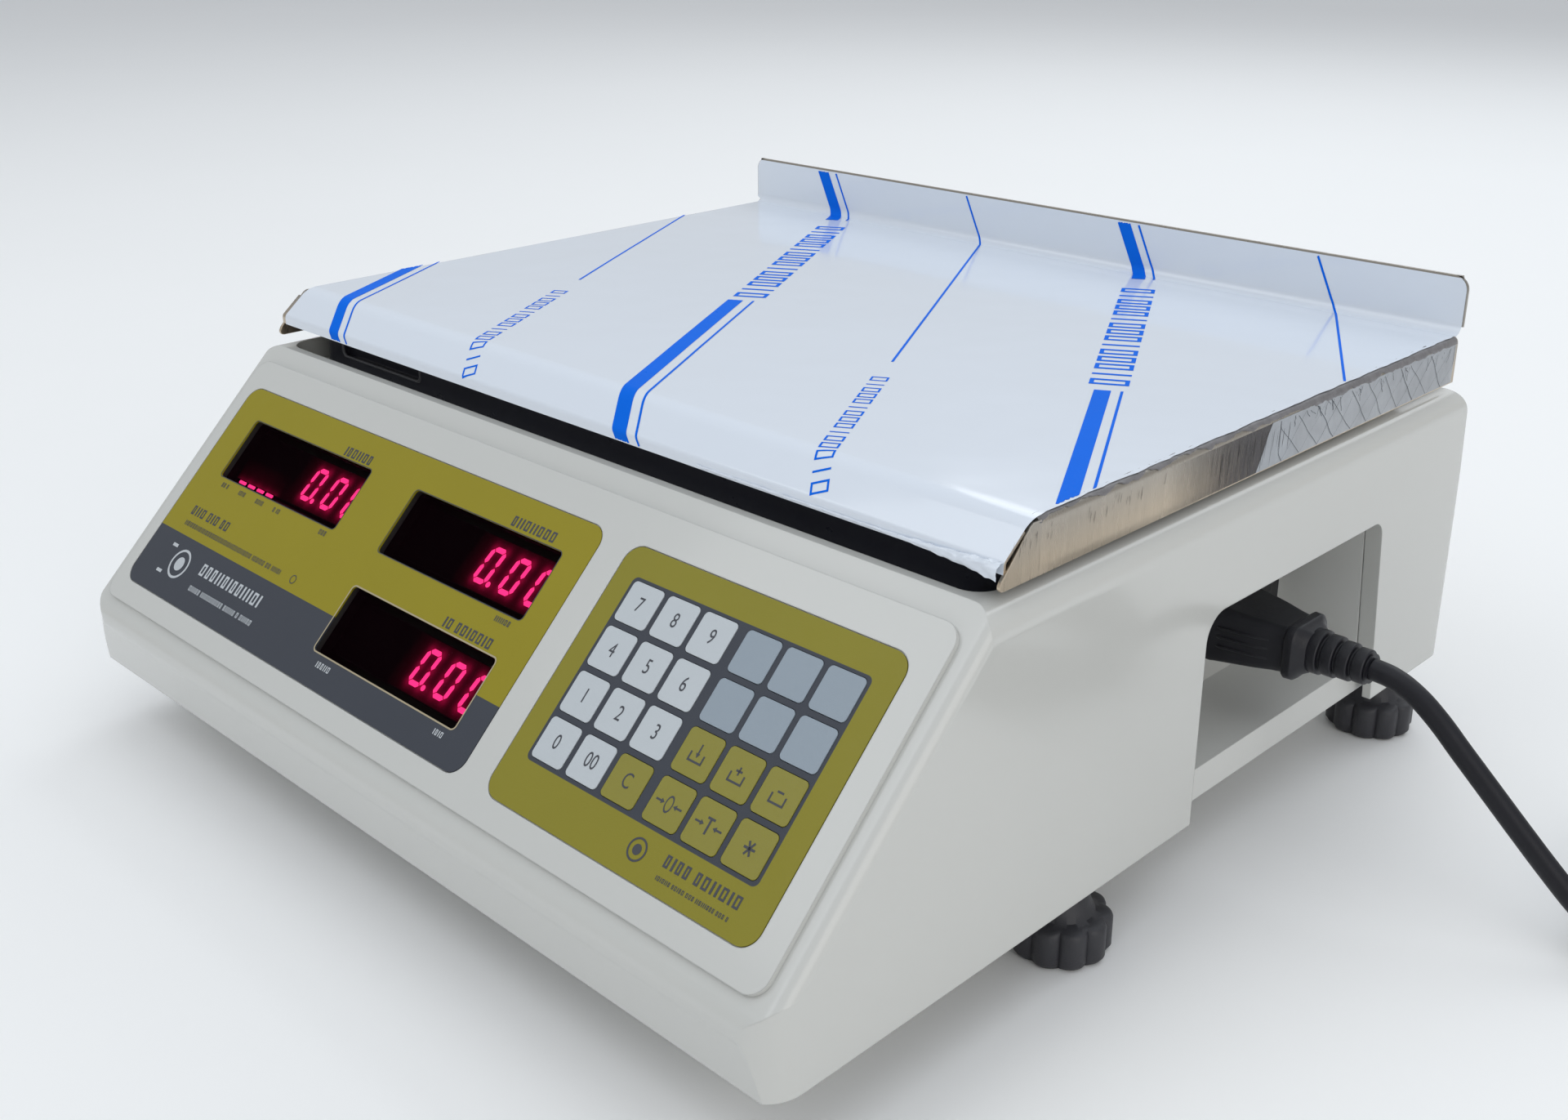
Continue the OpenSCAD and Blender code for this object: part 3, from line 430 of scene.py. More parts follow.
def ring_strip(first, second, place, w0, w1):
    """A closed strip between two outlines, the first w0 and the second w1 above a surface."""
    verts = [place(*p, w0) for p in first] + [place(*p, w1) for p in second]
    return verts, ring_faces(len(first), 2)


def ramp(value, start, length):
    """0 up to start, 1 from start + length on, straight between."""
    return min(1.0, max(0.0, value - start) / length)


def ripple(x, y, size, depth):
    """Smooth unevenness, in mm."""
    return depth * noise.noise(Vector((x / size, y / size, 3.7)))


def flat_marks(name, polys, place, w, finish, body, slot):
    """Flat print: polygons of (u, v) laid w above a surface."""
    shapes = [([place(p[0], p[1], w) for p in poly], [list(range(len(poly)))]) for poly in polys]
    return piece(name, *joined(shapes), finish, body, slot)


# ------------ mains lead, first of the pieces
# COIL_ORDER holds each turn's radius and height: two columns of turns in three layers
LEAD_R = 3.5
COIL_X, COIL_Y = 316.0, 104.5
COIL_ORDER = [(44.5, 3.5), (37.5, 3.5), (37.5, 10.5), (44.5, 10.5), (37.5, 17.5), (44.5, 17.5)]
COIL_START, COIL_POINTS, CHANGE_AT = -127.5, 126, 0.72     # degrees; points in all; share of a turn
LEAD_RUN = [(201, 60, 67), (208, 60, 66.2), (215, 60, 63.4), (222, 60, 58.6), (232, 60, 49.6),
            (242, 60, 40.6), (252, 60, 31.6), (262, 60, 22.8), (271, 60, 15.4), (280, 60, 9.4),
            (286, 60.4, 6.2)]
LEAD_TAIL = [(360.8, 112, 17), (361.2, 120, 15.6), (361.6, 128, 14), (362, 136, 13), (362, 142, 13)]


def lead_points():
    """The whole lead: down to the counter, six and a third turns of coil, and out to the plug."""
    start = math.radians(COIL_START)
    total = 2 * math.pi * len(COIL_ORDER) - start
    last = len(COIL_ORDER) - 1
    pts = list(LEAD_RUN)
    for i in range(1, COIL_POINTS + 1):
        turn = total * i / COIL_POINTS
        t = turn / (2 * math.pi)
        k = min(int(t), last)
        share = max(0.0, (t - k - CHANGE_AT) / (1 - CHANGE_AT)) if k < last else 0.0
        share = share * share * (3 - 2 * share)
        (r0, z0), (r1, z1) = COIL_ORDER[k], COIL_ORDER[min(k + 1, last)]
        r, z = r0 * (1 - share) + r1 * share, z0 * (1 - share) + z1 * share
        if t < 0.12:                        # the lead comes down onto the coil's first turn
            z += 1.08 * (1 - t / 0.12) ** 2
        pts.append((COIL_X + r * math.cos(start + turn), COIL_Y + r * math.sin(start + turn), z))
    return pts + LEAD_TAIL


def add_lead():
    curve = bpy.data.curves.new("mains_lead", "CURVE")
    curve.dimensions = "3D"
    curve.bevel_depth = LEAD_R * MM
    curve.bevel_resolution = curve.resolution_u = 6
    pts = lead_points()
    spline = curve.splines.new("BEZIER")
    spline.bezier_points.add(len(pts) - 1)
    for b, p in zip(spline.bezier_points, pts):
        b.co = Vector(p) * MM
        b.handle_left_type = b.handle_right_type = "AUTO"
    ob = add_object("mains_lead", curve)
    curve.materials.append(cord_black.mat)
    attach(ob, "housing")
    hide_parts("power_cord", "cord_coil")


def relief_sections(start, end, r0, r1, ribs):
    """Ribbed strain relief: rings with narrow grooves between them, tapering from r0 to r1."""
    out, pitch = [], (end - start) / ribs
    for i in range(ribs):
        a = start + i * pitch
        r = r0 + (r1 - r0) * i / (ribs - 1)
        out += [(a + s, circle(q, 48)) for s, q in (
            (0.0, r - 0.35), (0.35, r), (pitch - 1.35, r), (pitch - 1.0, r - 0.35),
            (pitch - 0.95, r - 1.6), (pitch - 0.1, r - 1.6))]
    return out + [(end, circle(r1 * 0.86, 48))]


def add_connector():
    """Line socket: tapering body with a seam line and a raised shoulder, then the strain relief."""
    cy, cz = 60, 67
    place = lambda s, a, b: (s, cy + a, cz + b)
    body = [(s, rounded_rect(hy, hz, r)) for s, hy, hz, r in (
        (141.3, 13.0, 9.4, 3), (141.8, 13.5, 10.0, 3), (152, 13.5, 10.0, 3), (153, 13.3, 9.8, 3),
        (166, 11.4, 8.5, 3.2), (172, 10.2, 7.9, 3.6), (175.4, 9.7, 7.7, 3.8), (176.0, 10.5, 8.6, 4),
        (176.6, 10.8, 9.0, 4), (179.0, 10.8, 9.0, 4.4), (179.8, 10.2, 8.4, 4.6), (180.6, 8.6, 7.5, 5),
        (182.2, 7.4, 6.8, 5))]
    relief = relief_sections(181.4, 201, 7.3, 5.6, 4)
    parts = [loft(body, place), loft(relief, place)]
    for side in (-1, 1):                    # grip ridges along both flanks
        for off in (-3.2, 0, 3.2):
            ridge = [(s, [(a * 0.5 + side * w, b * 0.55 + off) for a, b in
                          rounded_rect(1.0, 1.0, 0.9, 16)])
                     for s, w in ((154, 12.6), (156, 13.1), (166, 11.2), (171, 10.0))]
            parts.append(loft(ridge, place))
    nose = [(s, rounded_rect(12.0, 8.0, 1.5)) for s in (128.2, 141.6)]
    parts.append(loft(nose, place))
    ob = piece("line_connector", *joined(parts), plug_black, "housing", "plug_black")
    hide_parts("cord_connector")
    return finish_mesh(ob, [soft_edge(0.25)])


def add_plug():
    """Mains plug: ribbed relief, grip body with finger ridges, two blades and the earth pin."""
    px, pz = 362, 13
    place = lambda s, a, b: (px + a, s, pz + b)
    relief = relief_sections(142, 163, 4.9, 6.6, 5)
    body = [(s, rounded_rect(hx, hz, r)) for s, hx, hz, r in (
        (160.5, 6.0, 6.0, 5), (162, 8.5, 8.0, 6), (164.5, 10.6, 10.2, 6), (168, 11.6, 11.6, 6),
        (171, 11.2, 11.4, 6), (174, 12.0, 12.2, 6), (177, 11.6, 12.0, 6), (180, 12.4, 12.6, 5.5),
        (183, 12.9, 12.9, 5), (187.2, 12.9, 12.9, 5), (188, 12.4, 12.4, 5))]
    ob = piece("mains_plug", *joined([loft(relief, place), loft(body, place)]), plug_black, "housing",
               "plug_black")
    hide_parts("wall_plug")
    finish_mesh(ob, [soft_edge(0.3)])
    pins = []
    for side in (-1, 1):
        pins.append(loft([(s, [(side * 6.35 + a, b - 3.25) for a, b in rounded_rect(hx, 3.25, 0.5, 16)])
                          for s, hx in ((187, 0.75), (203.4, 0.75), (204, 0.45))], place))
    earth = [(s, circle(r, 24, 0, 7)) for s, r in ((187, 2.4), (204, 2.4), (205.4, 1.8), (205.9, 0.9))]
    pins.append(loft(earth, place))
    blades = piece("plug_blades", *joined(pins), steel, "housing", "zinc_steel")
    finish_mesh(blades, [soft_edge(0.12)])
    return ob, blades


TIE_OUTER = 1 + 0.7 / 9                    # the tie's outer outline, as a multiple of the inner one


def add_coil_tie():
    """A flat tie round the coil's section."""
    a = math.radians(62)
    out, along = Vector((math.cos(a), math.sin(a), 0)), Vector((-math.sin(a), math.cos(a), 0))
    centre = Vector((COIL_X, COIL_Y, 0)) + out * 41 + Vector((0, 0, 10.65))
    ring, verts = rounded_rect(7.6, 11.0, 3.2, 40), []
    for shift, k in ((-4.0, 1.0), (4.0, 1.0), (4.0, TIE_OUTER), (-4.0, TIE_OUTER)):
        verts += [centre + out * (p * k) + Vector((0, 0, max(q * k, -10.62))) + along * shift
                  for p, q in ring]
    ob = piece("coil_tie", verts, hoop_faces(len(ring), 4), rubber, "housing", "cord_black")
    return finish_mesh(ob, [soft_edge(0.15, 1)])


add_camera()
connector = add_connector()
plug, blades = add_plug()
tie = add_coil_tie()
add_lead()

# ------------ platter, its film and the film's print
PLATTER_X, PLATTER_Z = 171.5, 146.8
FRONT, LIP_FACE, LIP_TOP = -78.0, 161.5, 166.8
SHEET = 1.0
SIDE_R, SIDE_DROP = 2.5, 16.2
SIDE_ARC, FLANGE_TOP = SIDE_R * math.pi / 2, PLATTER_Z - SIDE_R
FLAT_X = PLATTER_X - SIDE_R
LIP_R = 5                                  # rounding of the lip's upper corners
CORNERS = [((LIP_FACE, LIP_TOP), 0), ((LIP_FACE, PLATTER_Z), 4.0), ((FRONT, PLATTER_Z), 10.0),
           ((-88.45, 138.09), 2.0), ((-88.45, 135.0), 0)]      # (y, z), bend radius, from lip to apron
FILM_LIFT, PRINT_LIFT = 0.19, 0.10         # the film's middle above the steel, the print above that


def fore_and_aft():
    """The platter's section: runs (start, end, first point, direction, bend) by developed distance."""
    pts = [Vector(c[0]) for c in CORNERS]
    runs, walked, start = [], 0.0, 0.0
    for i in range(len(pts) - 1):
        length = (pts[i + 1] - pts[i]).length
        way = (pts[i + 1] - pts[i]) / length
        bend, tangent = None, 0.0
        if CORNERS[i + 1][1]:
            onward = (pts[i + 2] - pts[i + 1]).normalized()
            angle = math.atan2(way.x * onward.y - way.y * onward.x, way.dot(onward))
            tangent = CORNERS[i + 1][1] * math.tan(abs(angle) / 2)
            bend = (way, angle, CORNERS[i + 1][1])
        runs.append((start, walked + length - tangent, pts[i] + way * (start - walked), way, None))
        if bend:
            middle = walked + length
            runs.append((middle - tangent, middle + tangent, pts[i + 1] - way * tangent, way, bend))
            start = middle + tangent
        walked += length
    return runs, walked


RUNS, PROFILE_END = fore_and_aft()
LIP_RUN = LIP_TOP - PLATTER_Z
LIP_END = LIP_FACE + LIP_RUN               # developed place of the lip's top


def profile(s):
    """Point (y, z) and outward normal at developed place s, where s is y itself on the flat."""
    d = LIP_END - s
    start, end, base, way, bend = next((r for r in RUNS if d <= r[1]), RUNS[-1])
    out = Vector((way.y, -way.x))
    if bend is None:
        return base + way * (d - start), out
    _, angle, radius = bend
    inward = -out if angle > 0 else out
    spin = Matrix.Rotation((d - start) / (end - start) * angle, 2)
    return base + inward * radius + spin @ (-inward * radius), spin @ out


def skin(x, s, lift=0.0):
    """A point lift above the platter's visible face."""
    p, n = profile(s)
    return (x, p.x + n.x * lift, p.y + n.y * lift)


def section_steps():
    """Developed places from the apron's lower edge to the lip's top, closer together in the bends."""
    marks = {LIP_END - PROFILE_END, LIP_END}
    for r in RUNS:
        a, b = LIP_END - r[1], LIP_END - r[0]
        marks.update(steps(a, b, 10 if r[4] else max(1, int((b - a) / 6))))
    return sorted(marks)


steel_with_painted_top = Mat("stainless_painted_dark_top", (0.56, 0.47, 0.36), rough=0.30, vary=0.10, vary_scale=30, grain=0.35,
              grain_scale=700, gloss_vary=0.10, stretch=(1, 9, 0.25), Metallic=1.0)
# painted reflection: above about 140 mm the steel's colour turns darker grey, blended over 12 mm
dark_top_reflection = steel_with_painted_top.math("MULTIPLY", steel_with_painted_top.above(steel_with_painted_top.axes()["Z"], 0.1405, 0.006), 0.8)
steel_with_painted_top.link(steel_with_painted_top.blend(dark_top_reflection, steel_with_painted_top.color, (0.36, 0.35, 0.33)), "Base Color")
film_mat = Mat("film_gloss", (0.720, 0.775, 0.855), rough=0.13, vary=0.012, vary_scale=9, grain=0.04,
               grain_scale=260, gloss_vary=0.04, Coat_Weight=0.4, Coat_Roughness=0.05)
clear_film = Mat("film_clear", (0.42, 0.45, 0.49), rough=0.14, vary=0.25, vary_scale=90, grain=0.6,
                 grain_scale=240, Alpha=0.80)
ragged = Mat("film_edge", (0.20, 0.195, 0.205), rough=0.35, vary=0.35, vary_scale=260, grain=0.8,
             grain_scale=500, Alpha=0.8)
# painted shade: the dark colour drawn along the film's creases
crease = Mat("crease_painted_shade", (0.05, 0.06, 0.08), rough=0.4, vary=0.3, Alpha=0.70)
# a dark, mottled patch over the flange from about 4 to 49 mm along
dark_patch = Mat("patch_finish", (0.045, 0.040, 0.045), rough=0.4, vary=0.3, vary_scale=200, grain=0.3,
             stretch=(1, 9, 0.35))
along = dark_patch.axes()["Y"]
cover = dark_patch.math("SUBTRACT", dark_patch.above(along, 0.004, 0.022), dark_patch.above(along, 0.049, 0.004))
fine = dark_patch.math("MULTIPLY", dark_patch.noise(380, 3), 1.8)
dark_patch.link(dark_patch.math("MULTIPLY", cover, dark_patch.math("MINIMUM", fine, 0.9)), "Alpha")
streak = Mat("flange_streak_finish", (0.07, 0.065, 0.06), rough=0.5, vary=0.4, vary_scale=500, Alpha=0.62)


def side_bend(d, y, lift=0.0):
    """A point of a side bend or flange; d runs from the flat's edge round and down, signed for the side."""
    sign, d, r = (1 if d >= 0 else -1), abs(d), SIDE_R + lift
    if d < SIDE_ARC:
        a = d / SIDE_R
        return (sign * (FLAT_X + r * math.sin(a)), y, FLANGE_TOP + r * math.cos(a))
    return (sign * (FLAT_X + r), y, FLANGE_TOP - (d - SIDE_ARC))


BEND_FRONT, BEND_BACK = FRONT + 3.7, LIP_FACE - 2.1
FLANGE_NOSE = [  # (y, z) round the flange's front end
    (BEND_FRONT, PLATTER_Z - 1.0), (FRONT + 0.6, PLATTER_Z - 1.0), (FRONT - 0.7, PLATTER_Z - 1.7),
    (-89.6, 133.6), (-90.2, 132.4), (-90.2, 131.5), (-89.6, 130.8), (-88.6, 130.6), (BEND_FRONT, 130.6)]


def lip_cut(h):
    """How far the lip's rounded end stands in, h below its top."""
    return LIP_R - math.sqrt(max(0.0, LIP_R ** 2 - (LIP_R - h) ** 2)) if h < LIP_R else 0.0


def add_platter():
    """The pressed steel plate: bent apron, upright back lip, side bends and flanges."""
    rows = section_steps()
    parts = [grid(steps(-FLAT_X, FLAT_X, 24), rows, skin)]
    down = steps(0, SIDE_ARC, 5) + [SIDE_ARC + d for d in (2, 5, 8, 11, SIDE_DROP - SIDE_R)]
    for sign in (-1, 1):
        low_rows = [s for s in rows if s <= FRONT - 3.6]
        parts.append(grid([sign * FLAT_X, sign * (PLATTER_X - 0.5)], low_rows, skin))

        def lip_point(k, s, sign=sign):
            p = profile(s)[0]
            return (sign * (FLAT_X + (SIDE_R - lip_cut(LIP_TOP - p.y)) * k), p.x, p.y)
        lip_rows = [s for s in rows if LIP_FACE + 2 < s < LIP_END - LIP_R]
        lip_rows += steps(LIP_END - LIP_R, LIP_END, 6)
        parts.append(grid([0, 1], lip_rows, lip_point))
        parts.append(grid([sign * (d + 1e-9) for d in down], steps(BEND_FRONT, BEND_BACK, 24), side_bend))
        nose = [(sign * PLATTER_X, y, z) for y, z in FLANGE_NOSE]
        parts.append((nose, [list(range(len(nose)))[::sign]]))
    ob = piece("platter_plate", *joined(parts), steel_with_painted_top, "weighing_platter", "stainless")
    bm = bmesh.new()
    bm.from_mesh(ob.data)
    bmesh.ops.remove_doubles(bm, verts=bm.verts, dist=0.02 * MM)
    bmesh.ops.inset_individual(bm, faces=[f for f in bm.faces if len(f.verts) > 6], thickness=0.5 * MM)
    for face in bm.faces:                    # every face looks up, forward or outward
        c, n = face.calc_center_median(), face.normal
        out = n.z - n.y
        on_side = abs(c.x) > FLAT_X * MM and c.z < (PLATTER_Z - 0.4) * MM and c.y > (FRONT - 14) * MM
        if on_side and abs(n.x) > 0.3:
            out = n.x * c.x
        if out < 0:
            face.normal_flip()
    bm.to_mesh(ob.data)
    bm.free()
    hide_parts("platter")
    return finish_mesh(ob, [("SOLIDIFY", {"thickness": SHEET * MM, "offset": -1}), soft_edge(0.2, 2)], 35)


def film_lift(x, s):
    """How far the film's middle lies above the steel: a little uneven, more so along its right edge."""
    lift = FILM_LIFT + ripple(x, s, 34, 0.09) + ripple(x, s, 11, 0.03)
    if BEND_FRONT < s < LIP_FACE - 4:
        lift += 0.22 * max(0.0, ripple(x * 0.4, s, 4, 1.0)) * ramp(x, FLAT_X - 6, 6)
    return lift


def add_film():
    """Glossy film over the top, apron and lip, lying a little unevenly, with a wavy right edge."""
    top = LIP_END - 0.7
    rows = []
    marks = [s for s in section_steps() if s < top - 4.6] + steps(top - 4.5, top, 9)
    for a, b in zip(marks, marks[1:]):
        rows += [a] if b - a < 3.5 else [a, (a + b) / 2]
    rows.append(top)
    cols = steps(-PLATTER_X + 3.0, FLAT_X - 4, 110) + [FLAT_X - 4 + d for d in (1.5, 3, 4, 4.8, 5.5)]

    def place(x, s):
        edge = ramp(x, FLAT_X - 6, 6)
        wander = (ripple(s, 40, 7, 0.5) + ripple(s, 90, 3, 0.3)) * edge
        lift = film_lift(x, s)
        if BEND_FRONT < s < LIP_FACE - 4:
            return skin(x + wander, s, lift)
        reach = PLATTER_X - 0.4 - lip_cut(LIP_END - s)       # the film reaches the lip's rounded ends
        x += 0.9 * edge - 3.2 * ramp(s, LIP_FACE, 2) * ramp(-x, 150, 18)
        return skin(max(-reach, min(reach, x)), s, lift)

    ob = piece("platter_film_sheet", *grid(cols, rows, place), film_mat, "weighing_platter", "film", 60)
    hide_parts("platter_film")
    return finish_mesh(ob, [("SOLIDIFY", {"thickness": 0.06 * MM, "offset": 0})], 60)


STRIPES = [  # centre across, width, end-to-end spans along the print
    (-187.5, 6.0, [(-999, 117.9)]), (-180.4, 1.0, [(-999, 117.9)]),
    (-27.3, 6.6, [(-999, 38.7), (187.8, 999)]), (-19.5, 1.0, [(-999, 38.7), (187.8, 999)]),
    (134.5, 6.0, [(-999, -40.5), (108.5, 999)]), (141.3, 1.0, [(-999, -40.5), (108.5, 999)]),
    (-104.7, 1.0, [(53.9, 999)]), (55.7, 1.0, [(-26.4, 999)]), (217.3, 1.0, [(-999, 999)]),
]
BANDS = [(-23.2, 14.3, 44, 176), (136.0, 14.3, -34.5, 95), (-104.7, 6.6, -52.6, 37.4),
         (55.7, 6.6, -131.5, -42.3)]        # centre across, height, from, to
BAND_MARKS = 15
ALONG_X, ALONG_S = -0.4975, 0.8675         # the print's direction on the developed film
PRINT_CELL = 1.1                           # size of the quads the print is cut into
LIP_SCALE = 0.83                           # the print's length on the lip, as a share of the lip's height


def print_point(c, p):
    """Where print line c meets distance p along it: (x, s)."""
    across = c * ALONG_S
    return (across * ALONG_S + ALONG_X * p, ALONG_S * p - across * ALONG_X)


def film_patch(c0, c1, p0, p1):
    """A parallelogram of print cut into small quads that follow the platter's bends."""
    marks = steps(p0, p1, max(1, round((p1 - p0) / PRINT_CELL)))
    rows = []
    for a, b in zip(marks, marks[1:]):
        s = print_point((c0 + c1) / 2, a)[1]
        fine = s < FRONT - 8 or s > LIP_FACE + 10
        rows += steps(a, b, 3)[:-1] if fine else [a]
    rows.append(p1)
    lines = steps(c0, c1, max(1, round((c1 - c0) / PRINT_CELL)))
    cells = []
    low = LIP_END - PROFILE_END + 0.3
    high = LIP_FACE + (LIP_RUN - 1.2) * LIP_SCALE
    side = FLAT_X + 0.9
    for a, b in zip(rows, rows[1:]):
        for c, d in zip(lines, lines[1:]):
            quad = [print_point(*at) for at in ((c, a), (d, a), (d, b), (c, b))]
            x, s = (sum(q[k] for q in quad) / 4 for k in (0, 1))
            if abs(x) < side and low < s < high:
                cells.append([(max(-side, min(side, x)), max(low, min(high, s))) for x, s in quad])
    return cells


def add_film_print():
    """Blue stripes and rows of generic block marks, set diagonally across the film."""
    cells = []
    for middle, width, spans in STRIPES:
        for a, b in spans:
            cells += film_patch(middle - width / 2, middle + width / 2, max(a, -260), min(b, 330))
    for middle, height, a, b in BANDS:
        pitch, half, stroke = (b - a) / BAND_MARKS, height / 2, height * 0.115
        for k in range(BAND_MARKS):
            s0, wide = a + k * pitch, pitch * 0.72
            if k % 4 == 1:                  # a single bar
                s1 = s0 + wide * 0.35
                cells += film_patch(middle - half, middle + half, s1, s1 + stroke)
                continue
            for c0, c1, p0, p1 in ((-half, half, 0, stroke), (-half, half, wide - stroke, wide),
                                   (-half, -half + stroke, stroke, wide - stroke),
                                   (half - stroke, half, stroke, wide - stroke)):
                cells += film_patch(middle + c0, middle + c1, s0 + p0, s0 + p1)

    def on_film(x, s):
        real = s if s < LIP_FACE else LIP_FACE + (s - LIP_FACE) / LIP_SCALE
        return skin(x, real, PRINT_LIFT + film_lift(x, real))

    quads = [([on_film(*at) for at in quad], [[0, 1, 2, 3]]) for quad in cells]
    piece("film_print", *joined(quads), blue_ink, "weighing_platter", "film", 60)


add_platter()
add_film()
add_film_print()


CREASES, LONG_CREASES, STREAKS, LONG_STREAKS = 52, 22, 84, 56


def add_flange_film():
    """What is left of the film on the right flange: a ragged strip, a clear sheet and its creases, drawn as
    dark lines of painted shade.
    """
    x, top, low = PLATTER_X + 0.14, FLANGE_TOP, 131.0
    on_platter = ("weighing_platter", "film", 70)
    rows = steps(BEND_FRONT - 1, BEND_BACK - 1, 260)

    def strip(k, y):
        depth = SIDE_ARC - 1.5 + 1.3 * ramp(y, 0, 60) + ripple(y, 5, 6, 1.2) + ripple(y, 9, 1.5, 0.5)
        start = max(0.06, 0.25 + ripple(y, 60, 5, 0.5))
        d = start + (max(1.4, depth) - start) * k / 7
        return side_bend(d, y, 0.16 + 0.16 * abs(ripple(k * 1.3, y, 2.2, 1.0)))

    def clear(y, z):
        return (x - 0.06 + ripple(y, z, 6, 0.05), max(y, 30 + (z - low) * 0.5) + ripple(z, y, 3, 0.6), z)

    piece("flange_film_edge", *grid(range(8), rows, strip), ragged, *on_platter)
    piece("flange_film_clear", *grid(steps(30, LIP_FACE - 4, 60), steps(low, top + 0.4, 5), clear),
          clear_film, *on_platter)
    creases, streaks = [], []
    for k in range(CREASES):                # creases crossing each other in a loose net, as dark lines of painted shade
        long = k < LONG_CREASES
        y0 = (44 + 10.5 * (k // 2)) if long else random.uniform(50, LIP_FACE - 8)
        run = (15 if k % 2 else -12) + random.uniform(-3, 3) if long else random.uniform(-2.5, 2.5)
        z1 = top - random.uniform(0, 1)
        z0 = low + 0.2 if long else z1 - random.uniform(1.5, 5)
        wide = random.uniform(0.09, 0.16)
        line = [(wide, min(LIP_FACE - 4.5, max(42.0, y0 + run * t + ripple(k * 7, t * 9, 3, 0.9))),
                 z0 + (z1 - z0) * t) for t in steps(0, 1, 10)]
        creases.append(ribbon(line, x + 0.05, 0.1))
    piece("flange_film_creases", *joined(creases), crease, *on_platter)
    piece("flange_dark_patch", *grid(steps(-20, 54, 40), steps(low, top + 0.2, 4),
                                 lambda y, z: (x - 0.09, y, z)), dark_patch, *on_platter)
    for k in range(STREAKS):                # dark streaks down the flange, most of them from about 4 to 48 mm along
        long = k < LONG_STREAKS
        y = 4 + 44 * random.random() ** 0.8 if long else random.uniform(FRONT - 8, FRONT + 60)
        z1 = top - random.uniform(0.0, 3.0)
        z0 = z1 - (random.uniform(4, 12) if long else random.uniform(1, 4))
        wide = random.uniform(0.05, 0.16)
        line = [(wide * math.sin(math.pi * (0.1 + 0.8 * t)), y + 0.5 * t, max(low, z0 + (z1 - z0) * t))
                for t in steps(0, 1, 4)]
        streaks.append(ribbon(line, x - 0.02))
    piece("flange_dark_streaks", *joined(streaks), streak, *on_platter)


add_flange_film()


def add_film_crumple():
    """Loose film gathered under the apron's lower edge, rolled up towards the right corner."""
    cols, rows = steps(60, PLATTER_X - 0.6, 300), range(13)

    def place(x, k):
        gather = max(0.0, (x - 128) / (PLATTER_X - 128)) ** 1.5
        deep = 0.8 + 5.6 * gather
        a = math.radians(-30 + 200 * k / 12)
        fold = ripple(x, k * 2.2, 3.1, 0.5 + 1.2 * gather) + ripple(x, k, 1.4, 0.12 + 0.3 * gather)
        r = deep * 0.5 + fold * 0.6
        base_y, base_z = -88.9 - 0.6 * gather, 136.0 - deep * 0.2
        return (x, base_y - r * math.cos(a) * 0.6, base_z + r * math.sin(a) * 0.9 + 0.8 * gather)
    ob = piece("film_crumple", *grid(cols, rows, place), film_mat, "weighing_platter", "film", 80)
    finish_mesh(ob, [("SOLIDIFY", {"thickness": 0.08 * MM, "offset": 0})], 80)


add_film_crumple()

# ------------ displays: digits, glow and the lens frames
DIGIT_W, DIGIT_H, DIGIT_PITCH, STROKE = 7.3, 13.0, 12.7, 1.75
LEAN = math.tan(math.radians(8))


def zero_lines():
    """Centre lines of the six lit segments of a 0, from its lower left corner."""
    e = STROKE / 2
    l, r, b, m, t = e, DIGIT_W - e, e, DIGIT_H / 2, DIGIT_H - e
    return [((l, t), (r, t)), ((r, t), (r, m)), ((r, m), (r, b)), ((l, b), (r, b)), ((l, m), (l, b)),
            ((l, t), (l, m))]


def segment_outline(p, q):
    """Six-sided bar from p to q with pointed ends."""
    p, q = Vector(p), Vector(q)
    way = (q - p).normalized()
    side = Vector((-way.y, way.x)) * (STROKE / 2)
    gap = way * 0.22
    p, q = p + gap, q - gap
    inner = way * (STROKE / 2)
    return [p, p + inner + side, q - inner + side, q, q - inner - side, p + inner - side]


def lit_bars(u, v):
    """Outlines of the segments and point of 0.00; the first 0's lower left corner is at u, v."""
    bars = []
    for k in range(3):
        x0 = u + DIGIT_PITCH * k
        bars += [[Vector((x0 + w.x + w.y * LEAN, v + w.y)) for w in segment_outline(p, q)]
                 for p, q in zero_lines()]
        if k == 0:
            bars.append([Vector(p) for p in circle(1.0, 12, x0 + DIGIT_W + 1.3, v + 1.0)])
    return bars


LIT = (1.0, 0.030, 0.20)
digit_light = Mat("digit_light", (0.02, 0.0, 0.005), rough=0.4, grain=0.03, grain_scale=200,
                  Emission_Strength=6.0)
uneven = digit_light.blend(digit_light.noise(900, 2), [c * 0.82 for c in LIT], LIT)
digit_light.link(uneven, "Emission Color")
glow = Mat("digit_glow", (0.004, 0.002, 0.003), rough=0.7, grain=0.03, grain_scale=200,
           Specular_IOR_Level=0.1, Emission_Strength=1.0)
halo = glow.node("Attribute")
halo.attribute_name = "halo"
glow.link(glow.blend(halo.outputs["Fac"], (0.0, 0.0, 0.0), (0.95, 0.010, 0.115)), "Emission Color")
window_edge = Mat("window_edge", (0.40, 0.34, 0.22), rough=0.3, vary=0.05)


def to_segment(p, a, b):
    ab = b - a
    t = max(0.0, min(1.0, (p - a).dot(ab) / max(ab.length_squared, 1e-9)))
    return (p - a - ab * t).length


WINDOW_HALF, WINDOW_R, SLEEVE_TOP = (38.0, 11.75), 1.5, -2.45
DIGIT_OVER, GLOW_OVER = 0.30, 0.12         # above the modules' face
HALO_REACH, HALO_FALL, HALO_NEAR, HALO_FAR = 9, 3.2, 0.34, 0.075


